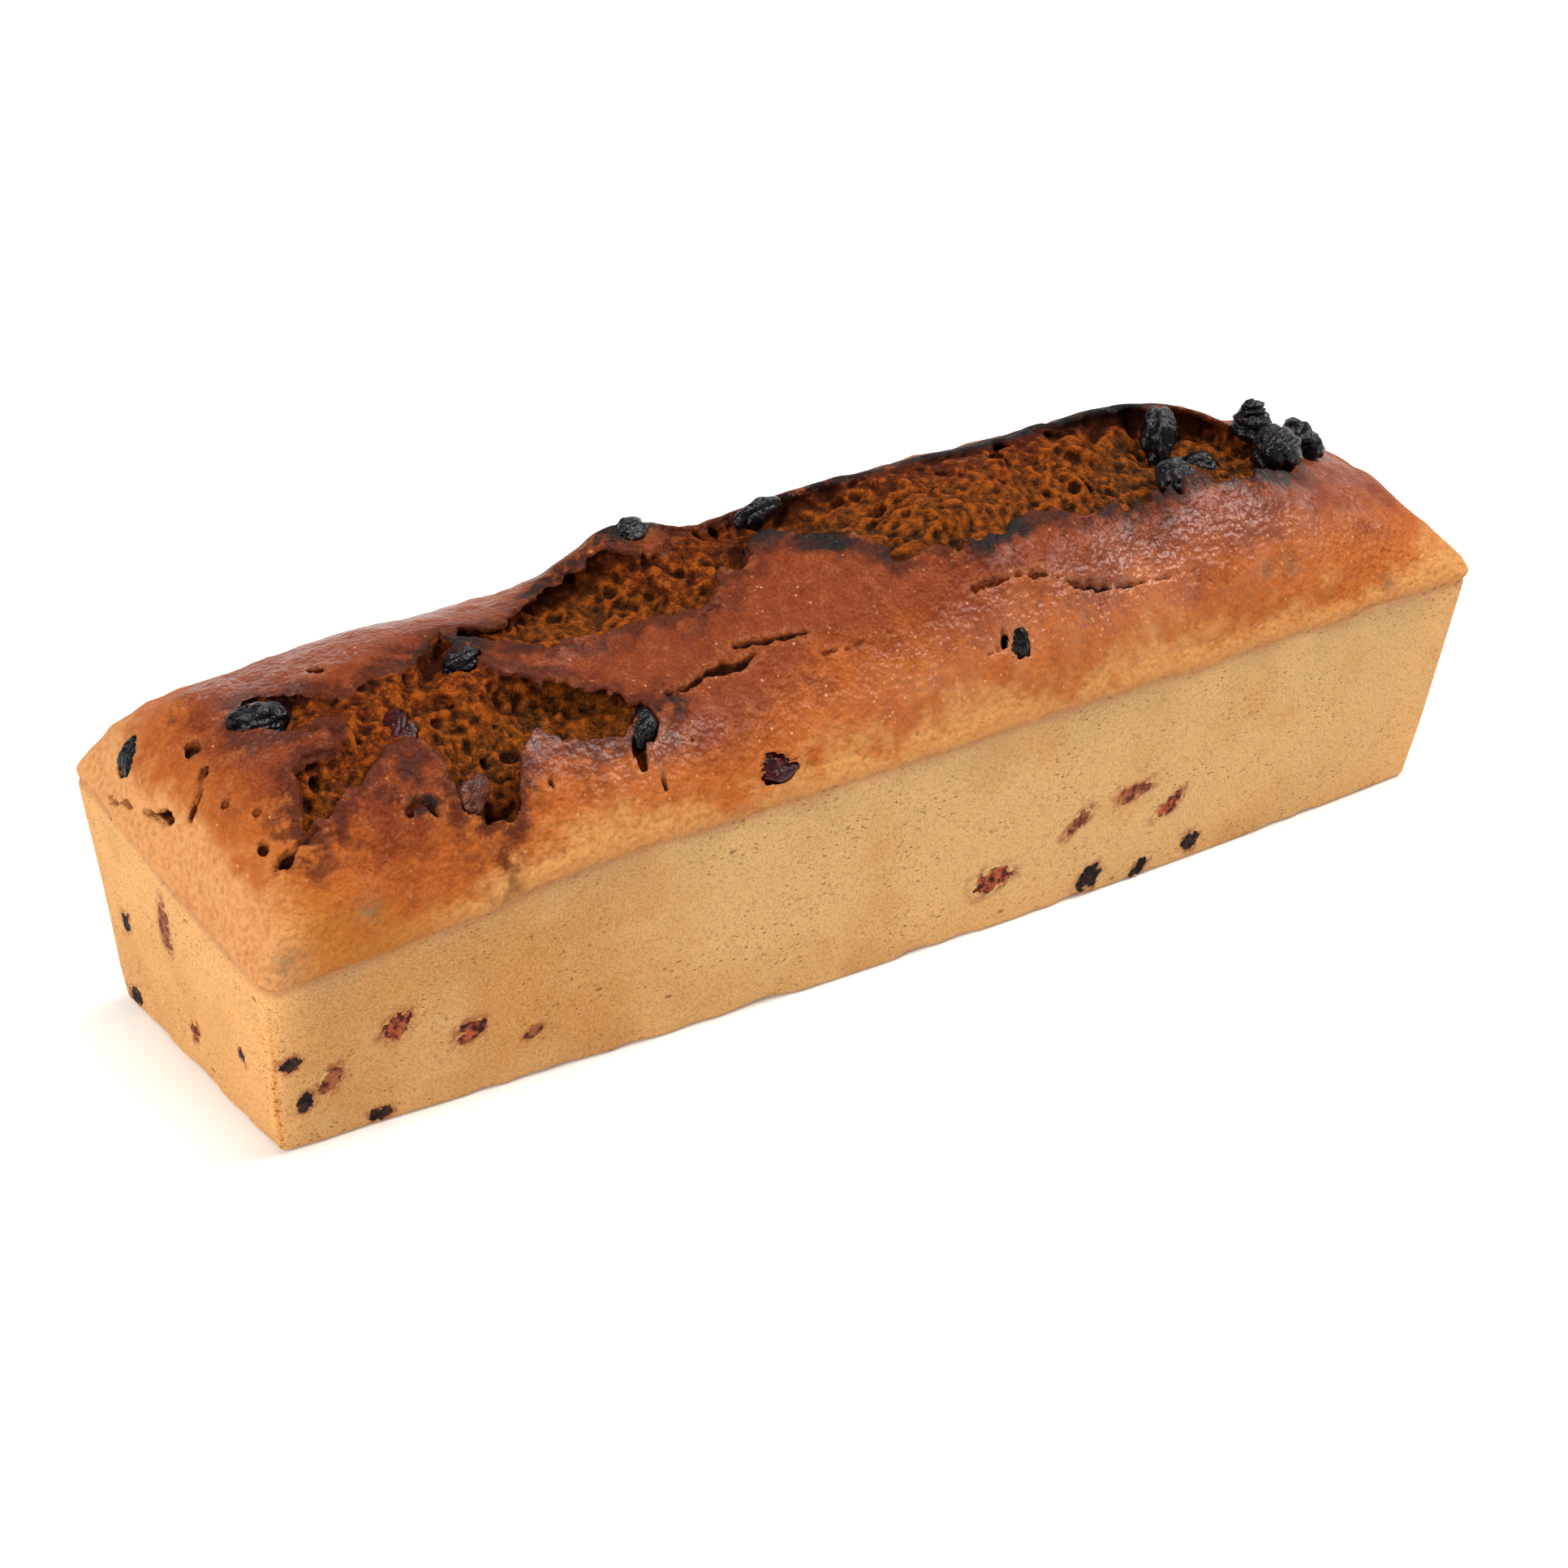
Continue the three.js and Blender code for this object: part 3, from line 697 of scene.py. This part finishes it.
def paint_place(piece, vertices):
    """Stores what a spot's place on the tin-baked part does to its colour."""
    x, y, z = vertices.T
    rim = rim_height(x, y)
    over_seam = z - rim - sample_plan(seam_wander, vertices)
    grey = np.zeros(len(vertices))
    for blemish_x, blemish_y, blemish_z, reach, rise in BLEMISHES:
        away = (x - blemish_x) ** 2 + (y - blemish_y) ** 2 + (z - blemish_z) ** 2
        grey += (rise < 0) * np.exp(-away / reach**2)
    # The left end is painted lighter and more orange on its walls and crust, partly its own colour
    # and partly painted light from the left.
    left_end = smoothstep(-x, 126, 139)
    edges = 0.55 * np.exp(-z / 7) + 0.5 * smoothstep(x, 112, 139)
    seam = np.exp(-((over_seam / 1.3) ** 2))
    half_x, half_y = tin_halves(x, np.clip(z / rim, 0, 1))
    from_corner = np.maximum(half_x - np.abs(x), half_y - np.abs(y))
    corner = np.exp(-((from_corner / 1.1) ** 2))
    under = np.exp(-np.maximum(-over_seam, 0) / 6)
    paint(piece, "place", (left_end, edges, seam, np.clip(grey, 0, 1)))
    paint(piece, "rims", (corner, under))


def bake_tones(piece, vertices, quads):
    """How each spot of the loaf is baked, and how far it lies in a hollow for painted shade, as
    numbers that its material reads.
    """
    x, y, z = vertices.T
    over_rim = z - rim_height(x, y)
    lifted = sample_plan(crust_lift, vertices) * smoothstep(over_rim, -1, 5)
    depth = lifted - outer_distance(x, y, z)
    over_seam = over_rim - sample_plan(seam_wander, vertices)
    inside = sample_plan(split_inside, vertices)
    crumb = smoothstep(depth, 0.9, 1.5) * (over_rim > 2)
    tin = 1 - smoothstep(over_seam, -0.4, 0.4)
    # The crust counts as lower towards the left end, so it is painted paler there, partly painted
    # light.
    height = np.clip(over_seam / crown_rise(x) - 0.3 * smoothstep(-x, 118, 139), 0, 1)
    near_lip = np.exp(np.minimum(inside, 0) / 6.0) * (1 - tin)
    char = np.clip(sample_plan(charred, vertices), 0, 1.2) * (1 - tin)
    paint(piece, "zone", (crumb, near_lip, height, tin))
    sunk = np.clip(depth / 10, 0, 1)
    cracked = sample_plan(crack_cores, vertices) * smoothstep(depth, 0.7, 1.6)
    # How deep in a hollow or crack a spot lies: the material paints it darker there, painted shade,
    # and paler on ridges, painted highlight.
    hollow = np.clip(0.5 + hollowness(vertices, quads, 8) / 1.2 + 0.35 * cracked, 0, 1)
    paint(piece, "tone", (sunk, hollow, char, fruit_stain(vertices)))
    paint(piece, "gloss", [np.clip(sample_plan(oily, vertices), 0, 1)])
    paint_place(piece, vertices)


def build_loaf():
    field, depth = body_field()
    open_pores(field, depth, PORE_COUNT)
    for name, shape in fruit_shapes.items():
        shape.carve(field, pocket_gap(name))
    vertices, quads = largest_piece(*skin(field))
    piece = mesh_object("baked_loaf", vertices, quads)
    bake_tones(piece, vertices, quads)
    return piece


# ==== Materials ====
class Nodes:
    """Short calls that add shader nodes to one material or world."""

    def __init__(self, owner):
        owner.use_nodes = True
        self.owner = owner
        self.tree = owner.node_tree
        self.coordinates = self.tree.nodes.new("ShaderNodeTexCoord").outputs
        self.place = self.coordinates["Object"]

    def feed(self, socket, value):
        if isinstance(value, bpy.types.NodeSocket):
            self.tree.links.new(value, socket)
        elif isinstance(value, tuple) and len(value) == 3 and socket.type == "RGBA":
            socket.default_value = (*value, 1)
        else:
            socket.default_value = value

    def node(self, kind, output, inputs, **settings):
        made = self.tree.nodes.new(kind)
        for key, value in settings.items():
            setattr(made, key, value)
        for key, value in inputs.items():
            self.feed(made.inputs[key], value)
        return made.outputs[output]

    def channels(self, name):
        """The four numbers that paint() stored under a name."""
        colour = self.node("ShaderNodeAttribute", "Color", {}, attribute_name=name)
        made = self.tree.nodes.new("ShaderNodeSeparateColor")
        self.feed(made.inputs["Color"], colour)
        alpha = self.tree.nodes.new("ShaderNodeAttribute")
        alpha.attribute_name = name
        return [made.outputs[k] for k in ("Red", "Green", "Blue")] + [alpha.outputs["Alpha"]]

    def noise(self, size_mm, detail=3.0, roughness=0.55, place=None):
        """Cloudy noise from 0 to 1 with features of about the given size."""
        inputs = {"Vector": place or self.place, "Scale": 1 / (size_mm * MM)}
        inputs |= {"Detail": detail, "Roughness": roughness}
        return self.node("ShaderNodeTexNoise", "Fac", inputs)

    def spots(self, size_mm, place=None):
        """Distance to the nearest of scattered points, 0 at each point."""
        inputs = {"Vector": place or self.place, "Scale": 1 / (size_mm * MM)}
        return self.node("ShaderNodeTexVoronoi", "Distance", inputs)

    def along(self):
        """Place along the loaf, metres."""
        return self.node("ShaderNodeSeparateXYZ", "X", {"Vector": self.place})

    def stretched(self, *scales):
        """Place scaled by a factor along each axis."""
        inputs = {"Vector": self.place, "Scale": scales}
        return self.node("ShaderNodeMapping", "Vector", inputs)

    def span(self, value, start, end, low=0.0, high=1.0):
        """Maps start..end onto low..high, held at both ends."""
        inputs = {
            "Value": value, "From Min": start, "From Max": end, "To Min": low, "To Max": high,
        }
        return self.node("ShaderNodeMapRange", "Result", inputs, interpolation_type="SMOOTHSTEP")

    def math(self, operation, a, b):
        return self.node("ShaderNodeMath", 0, {0: a, 1: b}, operation=operation)

    def add(self, a, b):
        return self.math("ADD", a, b)

    def times(self, a, b):
        return self.math("MULTIPLY", a, b)

    def mix(self, share, a, b):
        """Colour between a and b."""
        made = self.tree.nodes.new("ShaderNodeMix")
        made.data_type = "RGBA"
        for index, value in ((0, share), (6, a), (7, b)):
            self.feed(made.inputs[index], value)
        return made.outputs[2]

    def blend(self, share, a, b):
        """Number between a and b."""
        made = self.tree.nodes.new("ShaderNodeMix")
        for index, value in ((0, share), (2, a), (3, b)):
            self.feed(made.inputs[index], value)
        return made.outputs[0]

    def bump(self, height, distance_mm):
        inputs = {"Height": height, "Distance": distance_mm * MM, "Strength": 1.0}
        return self.node("ShaderNodeBump", "Normal", inputs)

    def finish(self, shader="Principled BSDF", **inputs):
        """Sets the shader's inputs, and gives back the material or world."""
        for key, value in inputs.items():
            self.feed(self.tree.nodes[shader].inputs[key.replace("_", " ")], value)
        return self.owner


def new_material(name):
    return Nodes(bpy.data.materials.new(name))


TIN_TAN = (0.52, 0.245, 0.075)
TIN_PALE = (0.61, 0.375, 0.155)
TIN_GREY = (0.43, 0.26, 0.115)
TIN_ORANGE = (0.74, 0.39, 0.145)
TIN_BROWN = (0.23, 0.085, 0.025)
SEAM_PINK = (0.42, 0.17, 0.075)
CORNER_ORANGE = (0.60, 0.22, 0.040)
BAND_GOLD = (0.47, 0.215, 0.064)
BAND_END = (0.55, 0.255, 0.092)
BAND_AMBER = (0.35, 0.122, 0.018)
CRUST_ORANGE = (0.33, 0.080, 0.013)
CRUST_RED = (0.165, 0.029, 0.006)
CRUST_MAHOGANY = (0.050, 0.009, 0.004)
CRUST_SCORCHED = (0.021, 0.009, 0.007)
CRUST_CHARRED = (0.010, 0.008, 0.007)
ASH_FLECK = (0.14, 0.125, 0.12)
# pale specks on the crust, and the painted highlight on its ridges
CRUST_SPECK_AND_HIGHLIGHT = (0.60, 0.30, 0.11)
CRUMB_ORANGE = (0.50, 0.108, 0.009)
CRUMB_GOLD = (0.21, 0.052, 0.006)
CRUMB_RUST = (0.16, 0.028, 0.004)
CRUMB_OLIVE = (0.105, 0.036, 0.008)
CRUMB_TOASTED = (0.070, 0.013, 0.004)
CRUMB_DARK = (0.014, 0.005, 0.003)
STAIN_RED = (0.25, 0.060, 0.024)
DIMPLE_GREY = (0.20, 0.12, 0.055)


def crust_colour(n, near_lip, height, char, hollow):
    patches = n.noise(24, 3)
    mottle = n.noise(4, 4, 0.6)
    level = n.add(height, n.span(patches, 0.3, 0.7, -0.15, 0.15))
    level = n.add(level, n.span(mottle, 0.3, 0.7, -0.08, 0.08))
    band = n.mix(n.span(n.along(), -0.118, -0.095), BAND_AMBER, BAND_GOLD)
    # Lighter gold band at the left end, partly painted light.
    band = n.mix(n.channels("place")[0], band, BAND_END)
    band = n.mix(n.span(n.noise(1.3, 4, 0.7), 0.40, 0.70, 0.0, 0.55), band, CRUST_ORANGE)
    colour = n.mix(n.span(level, 0.08, 0.38), band, CRUST_ORANGE)
    colour = n.mix(n.span(level, 0.36, 0.80), colour, CRUST_RED)
    specks = n.span(n.spots(1.9), 0.10, 0.20, 1, 0)
    rare = n.span(n.noise(6, 2), 0.50, 0.62)
    colour = n.mix(n.times(n.times(specks, rare), 0.6), colour, CRUST_SPECK_AND_HIGHLIGHT)
    # Painted highlight and shade: crust on ridges is painted paler, and crust in hollows and cracks
    # darker, with a fine random grain over both.
    grain = n.span(n.noise(0.6, 2), 0.3, 0.7, -0.3, 0.3)
    lit = n.add(n.span(hollow, 0.40, 0.60, 0.3, -0.3), grain)
    colour = n.mix(n.span(lit, 0.05, 0.6, 0.0, 0.14), colour, CRUST_SPECK_AND_HIGHLIGHT)
    dim = n.times(n.span(lit, 0.0, -0.5, 0.0, 0.4), n.span(level, 0.2, 0.5, 0.15, 1.0))
    colour = n.mix(dim, colour, CRUST_MAHOGANY)
    uneven = n.span(n.noise(4, 4, 0.65), 0.25, 0.65, 0.35, 1.4)
    edge = n.times(near_lip, uneven)
    colour = n.mix(n.span(edge, 0.28, 0.95, 0.0, 0.85), colour, CRUST_MAHOGANY)
    burnt = n.times(char, uneven)
    colour = n.mix(n.span(burnt, 0.18, 0.62), colour, CRUST_SCORCHED)
    colour = n.mix(n.span(burnt, 0.62, 0.95), colour, CRUST_CHARRED)
    flecks = n.times(n.span(n.spots(1.2), 0.12, 0.24, 0.7, 0), n.span(burnt, 0.5, 0.9))
    return n.mix(n.times(flecks, n.span(n.noise(2.5, 2), 0.45, 0.6)), colour, ASH_FLECK)


def crumb_colour(n, sunk, hollow, char):
    clouds = n.noise(6, 4, 0.6)
    deep = n.add(sunk, n.span(clouds, 0.3, 0.7, -0.18, 0.18))
    # Deeper in a split the crumb is paler gold, less baked, and deepest it is dark olive, partly its
    # own colour and partly painted shade.
    colour = n.mix(n.span(deep, 0.20, 0.55), CRUMB_RUST, CRUMB_GOLD)
    colour = n.mix(n.span(deep, 0.60, 1.0, 0.0, 0.9), colour, CRUMB_OLIVE)
    # Raised grains are painted bright orange, partly the crumb's toasted colour and partly painted
    # highlight; grains in hollows and cracks are painted dark, painted shade.
    grain = n.span(n.noise(1.7, 6, 0.85), 0.25, 0.75, 0.1, 0.9)
    raised = n.math("SUBTRACT", grain, hollow)
    colour = n.mix(n.span(raised, 0.02, 0.28, 0.0, 0.88), colour, CRUMB_ORANGE)
    colour = n.mix(n.span(raised, 0.0, -0.28, 0.0, 0.85), colour, CRUMB_DARK)
    toasted = n.add(char, n.span(n.noise(3.5, 5, 0.75), 0.35, 0.65, -0.25, 0.25))
    colour = n.mix(n.span(toasted, 0.15, 0.60, 0.0, 0.85), colour, CRUMB_TOASTED)
    return n.mix(n.span(toasted, 0.60, 1.1, 0.0, 0.8), colour, CRUMB_DARK)


def tin_colour(n):
    left_end, edges, seam, grey = n.channels("place")
    corner, under = n.channels("rims")[:2]
    clouds = n.add(n.noise(26, 4, 0.55), n.span(n.along(), -0.12, -0.02, -0.12, 0.12))
    colour = n.mix(n.span(clouds, 0.35, 0.68), TIN_TAN, TIN_PALE)
    grey_share = n.times(under, n.span(n.noise(16, 3), 0.35, 0.60, 0.25, 1.0))
    colour = n.mix(grey_share, colour, TIN_GREY)
    # Lighter orange towards the left end, partly painted light, and towards the right end and the
    # bottom edge.
    warm = n.add(n.times(left_end, 0.8), edges)
    warm = n.add(warm, n.span(n.noise(14, 3), 0.3, 0.7, -0.2, 0.2))
    colour = n.mix(n.span(warm, 0.0, 1.0), colour, TIN_ORANGE)
    # Along the rounded corners the wall is painted orange, partly its own colour and partly painted
    # highlight on the corner ridge.
    colour = n.mix(n.span(corner, 0.25, 0.9, 0.0, 0.8), colour, CORNER_ORANGE)
    grain = n.noise(0.5, 2)
    colour = n.mix(n.span(grain, 0.45, 0.70, 0.0, 0.42), colour, TIN_BROWN)
    colour = n.mix(n.span(grain, 0.50, 0.30, 0.0, 0.38), colour, TIN_PALE)
    dots = n.span(n.noise(1.0, 3), 0.56, 0.62, 0.0, 0.8)
    colour = n.mix(n.times(dots, n.span(corner, 0.2, 0.6)), colour, TIN_BROWN)
    return n.mix(n.times(seam, 0.6), colour, SEAM_PINK)


def tin_pores(n):
    """Fine open pores in the tin-baked skin, wider than high: 1 inside a pore."""
    place = n.stretched(0.6, 0.6, 1.3)
    fine = n.span(n.spots(1.3, place), 0.10, 0.20, 1, 0)
    where = n.span(n.noise(11, 3), 0.42, 0.60)
    coarse = n.span(n.spots(9, place), 0.03, 0.07, 1, 0)
    return n.math("MAXIMUM", n.times(fine, where), coarse)


def stained(n, stain, walls):
    """Walls reddened by fruit juice, broken up by the same clouds on the loaf and on the fruit."""
    share = n.times(stain, n.span(n.noise(2.2, 3, 0.65), 0.38, 0.62, 0.0, 0.75))
    return n.mix(share, walls, STAIN_RED)


def loaf_material():
    n = new_material("baked_dough")
    crumb, near_lip, height, tin = n.channels("zone")
    sunk, hollow, char, stain = n.channels("tone")
    pores = tin_pores(n)
    # The pores are painted darker brown, painted shade inside them.
    walls = n.mix(n.times(pores, 0.7), tin_colour(n), TIN_BROWN)
    walls = stained(n, stain, walls)
    crust = crust_colour(n, near_lip, height, char, hollow)
    grey = n.times(n.channels("place")[3], n.span(n.noise(1.5, 3), 0.35, 0.6, 0.2, 0.8))
    crust = n.mix(grey, crust, DIMPLE_GREY)
    colour = n.mix(tin, crust, walls)
    colour = n.mix(crumb, colour, crumb_colour(n, sunk, hollow, char))
    oily = n.times(n.channels("gloss")[0], n.span(n.noise(9, 3), 0.35, 0.60, 0.5, 1.0))
    oily = n.math("SUBTRACT", oily, n.times(char, 0.8))
    coat = n.blend(crumb, n.blend(tin, n.span(oily, 0.0, 0.9, 0.05, 0.85), 0.02), 0.0)
    roughness = n.span(n.noise(3, 2), 0.3, 0.7, 0.65, 0.85)
    pebbles = n.noise(1.3, 1.5, 0.45)
    streaks = n.noise(1.2, 1, 0.5, n.stretched(1.0, 0.16, 0.16))
    crust_relief = n.add(pebbles, n.times(streaks, 0.4))
    wall_relief = n.times(n.math("SUBTRACT", n.noise(0.35, 2), pores), 0.5)
    relief = n.blend(tin, crust_relief, wall_relief)
    relief = n.blend(crumb, relief, n.times(n.noise(0.8, 4, 0.7), 2.6))
    normal = n.bump(relief, 1.0)
    satin = n.bump(relief, 0.7)
    return n.finish(
        Base_Color=colour, Roughness=roughness, Normal=normal, Specular_IOR_Level=0.05,
        Coat_Weight=coat, Coat_Roughness=0.36, Coat_Normal=satin,
    )


# Dried skin: a darker and a paler tone mixed at random, and its colour where it is torn open.
FRUIT_COLOURS = {
    "raisin": ((0.002, 0.002, 0.003), (0.008, 0.005, 0.006), (0.040, 0.014, 0.009)),
    "cranberry": ((0.016, 0.002, 0.003), (0.085, 0.009, 0.009), (0.40, 0.090, 0.030)),
    "sultana": ((0.045, 0.010, 0.007), (0.15, 0.038, 0.016), (0.32, 0.10, 0.036)),
}
FRUIT_BLOOM = (0.05, 0.055, 0.07)


def fruit_material(slot, flush):
    n = new_material(f"{slot}_{'flush' if flush else 'skin'}")
    dark, pale, torn = FRUIT_COLOURS[slot]
    paleness = 1.0 if flush else 0.6
    colour = n.mix(n.span(n.noise(1.3, 3, 0.6), 0.35, 0.70, 0.0, paleness), dark, pale)
    if flush:
        colour = n.mix(n.span(n.noise(1.9, 3, 0.7), 0.42, 0.62, 0.0, 0.8), colour, torn)
        ragged = n.span(n.noise(2.0, 4, 0.7), 0.3, 0.7, -0.4, 0.4)
        edge = n.span(n.add(n.channels("cover")[0], ragged), 0.80, 1.05)
        colour = n.mix(edge, colour, stained(n, 1.0, tin_colour(n)))
        roughness = n.span(n.noise(1.8, 2), 0.3, 0.7, 0.6, 0.8)
    else:
        colour = n.mix(n.span(n.noise(3.4, 2), 0.60, 0.70, 0.0, 0.22), colour, torn)
        bloom = 0.1 if slot == "raisin" else 0.0
        colour = n.mix(n.span(n.noise(2.6, 3), 0.55, 0.8, 0.0, bloom), colour, FRUIT_BLOOM)
        roughness = n.span(n.noise(1.8, 2), 0.3, 0.7, 0.16, 0.34)
    return n.finish(
        Base_Color=colour, Roughness=roughness, Normal=n.bump(n.noise(1.2, 2), 0.5),
        Specular_IOR_Level=0.1 if flush else 0.2,
    )


# ==== Fruit pieces ====
def unit_sphere(subdivisions):
    ball = bmesh.new()
    bmesh.ops.create_icosphere(ball, subdivisions=subdivisions, radius=1)
    points = np.array([v.co for v in ball.verts], np.float32)
    faces = np.array([[v.index for v in face.verts] for face in ball.faces])
    ball.free()
    return points, faces


SPHERE_POINTS, SPHERE_FACES = unit_sphere(5)
WRINKLE_SCALES = ((1.0, 1.0), (2.0, 0.8), (3.6, 0.35))     # waves per size, and weight
WRINKLE_DEPTH = 0.19
FLUSH_WRINKLE_DEPTH = 0.01


def wrinkles(points, seed, size):
    """Folds of dried skin, mostly lengthways: sharp valleys between rounded ridges."""
    lengthways = np.linalg.svd(points - points.mean(0), full_matrices=False)[2][0]
    rng = np.random.default_rng(SEED + 200 + seed)
    total = np.zeros(len(points), np.float32)
    for waves, weight in WRINKLE_SCALES:
        field = np.zeros(len(points), np.float32)
        for _ in range(5):
            direction = rng.normal(0, 1, 3) * waves * 3.2 / size
            direction -= 0.7 * (direction @ lengthways) * lengthways
            field += np.sin(points @ direction + rng.uniform(0, 2 * np.pi))
        total += weight * (0.75 - np.abs(field) / 1.6)
    return total


def build_fruit(name, index):
    shape = fruit_shapes[name]
    size = float((shape.high - shape.low).max())
    radius = shape.radius(SPHERE_POINTS)
    points = SPHERE_POINTS * radius[:, None]
    folds = wrinkles(points, index, size)
    depth = FLUSH_WRINKLE_DEPTH if shape.flush else WRINKLE_DEPTH
    points *= 1 - depth * (0.2 + folds)[:, None].clip(-0.6, 2.4)
    piece = mesh_object(f"dried_{name}", points + shape.middle, SPHERE_FACES)
    if shape.flush:
        paint(piece, "cover", [shape.cover(points + shape.middle)])
        paint_place(piece, points + shape.middle)
    return piece


# ==== Stage, light and camera ====
CAMERA_AZIMUTH = np.radians(-35.679)
CAMERA_ELEVATION = np.radians(30.726)
CAMERA_ROLL = np.radians(2.695)
CAMERA_DISTANCE = 0.85152
CAMERA_TARGET = Vector((-0.00889, -0.00622, 0.028))
LENS = 100                # mm, for a sensor SENSOR mm wide
SENSOR = 36
FLOOR_HALF = 800.0        # half of the floor's side, mm; beyond it the studio is as pale
FLOOR_TINTS = (0.86, 0.835, 0.80), (0.88, 0.86, 0.83)
FLOOR_GLOW = (1, 0.975, 0.94)
HORIZON = (0.95, 0.94, 0.92)
HORIZON_BEHIND = (1.7, 1.68, 1.65)
ZENITH = (0.12, 0.12, 0.12)
LIGHTS_AIM = Vector((0, 0, 0.04))

# Square lights: (name, place in metres, side in metres, watts).
SOFTBOXES = [
    ("overhead_softbox", (-0.15, 0.05, 1.30), 0.6, 10),
    ("back_right_softbox", (0.68, 0.26, 1.12), 0.6, 6.5),
    ("left_softbox", (-1.15, -0.35, 0.70), 0.7, 14),
    ("right_softbox", (0.80, -0.30, 1.05), 0.6, 14),
]


def add_camera():
    flat = np.cos(CAMERA_ELEVATION)
    back = Vector((np.sin(CAMERA_AZIMUTH) * flat, -np.cos(CAMERA_AZIMUTH) * flat,
                   np.sin(CAMERA_ELEVATION)))
    level_right = (-back).cross(Vector((0, 0, 1))).normalized()
    level_up = level_right.cross(-back)
    right = level_right * np.cos(CAMERA_ROLL) + level_up * np.sin(CAMERA_ROLL)
    up = level_up * np.cos(CAMERA_ROLL) - level_right * np.sin(CAMERA_ROLL)
    data = bpy.data.cameras.new("camera")
    data.lens = LENS
    data.sensor_width = SENSOR
    data.clip_start = 0.05
    data.clip_end = 50
    camera = bpy.data.objects.new("camera", data)
    turn = Matrix((right, up, back)).transposed().to_4x4()
    camera.matrix_world = Matrix.Translation(CAMERA_TARGET + back * CAMERA_DISTANCE) @ turn
    bpy.context.scene.collection.objects.link(camera)
    bpy.context.scene.camera = camera


def add_softbox(name, place, size, power):
    data = bpy.data.lights.new(name, "AREA")
    data.shape = "RECTANGLE"
    data.size = size
    data.size_y = size
    data.energy = power
    light = bpy.data.objects.new(name, data)
    light.location = place
    light.rotation_euler = (Vector(place) - LIGHTS_AIM).to_track_quat("Z", "Y").to_euler()
    bpy.context.scene.collection.objects.link(light)


def add_floor():
    n = new_material("pale_floor")
    tint = n.mix(n.noise(400, 2), *FLOOR_TINTS)
    material = n.finish(
        Base_Color=tint, Roughness=0.9, Emission_Color=FLOOR_GLOW, Emission_Strength=0.10
    )
    corners = FLOOR_HALF * np.array([(-1, -1, 0), (1, -1, 0), (1, 1, 0), (-1, 1, 0)])
    floor = mesh_object("floor", corners, np.array([[0, 1, 2, 3]]))
    floor.data.materials.append(material)


def add_lights():
    n = Nodes(bpy.data.worlds.new("studio"))
    direction = n.coordinates["Generated"]
    upward = n.node("ShaderNodeSeparateXYZ", "Z", {"Vector": direction})
    backward = n.node("ShaderNodeSeparateXYZ", "Y", {"Vector": direction})
    horizon = n.mix(n.span(backward, 0.2, 0.9), HORIZON, HORIZON_BEHIND)
    sky = n.mix(n.span(upward, 0.10, 0.40), horizon, ZENITH)
    bpy.context.scene.world = n.finish("Background", Color=sky)
    for name, place, size, power in SOFTBOXES:
        add_softbox(name, place, size, power)
    bpy.context.scene.view_settings.view_transform = "Standard"


# ==== Assembly ====
add_camera()
add_floor()
add_lights()

loaf = build_loaf()
loaf.data.materials.append(loaf_material())
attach(loaf, "root")
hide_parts("loaf_body")

skins = {
    (slot, flush): fruit_material(slot, flush) for slot in FRUIT_COLOURS for flush in (True, False)
}
for index, (name, slot) in enumerate(sorted(fruit_slots.items())):
    fruit = build_fruit(name, index)
    fruit.data.materials.append(skins[slot, fruit_shapes[name].flush])
    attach(fruit, "root")
    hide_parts(name)
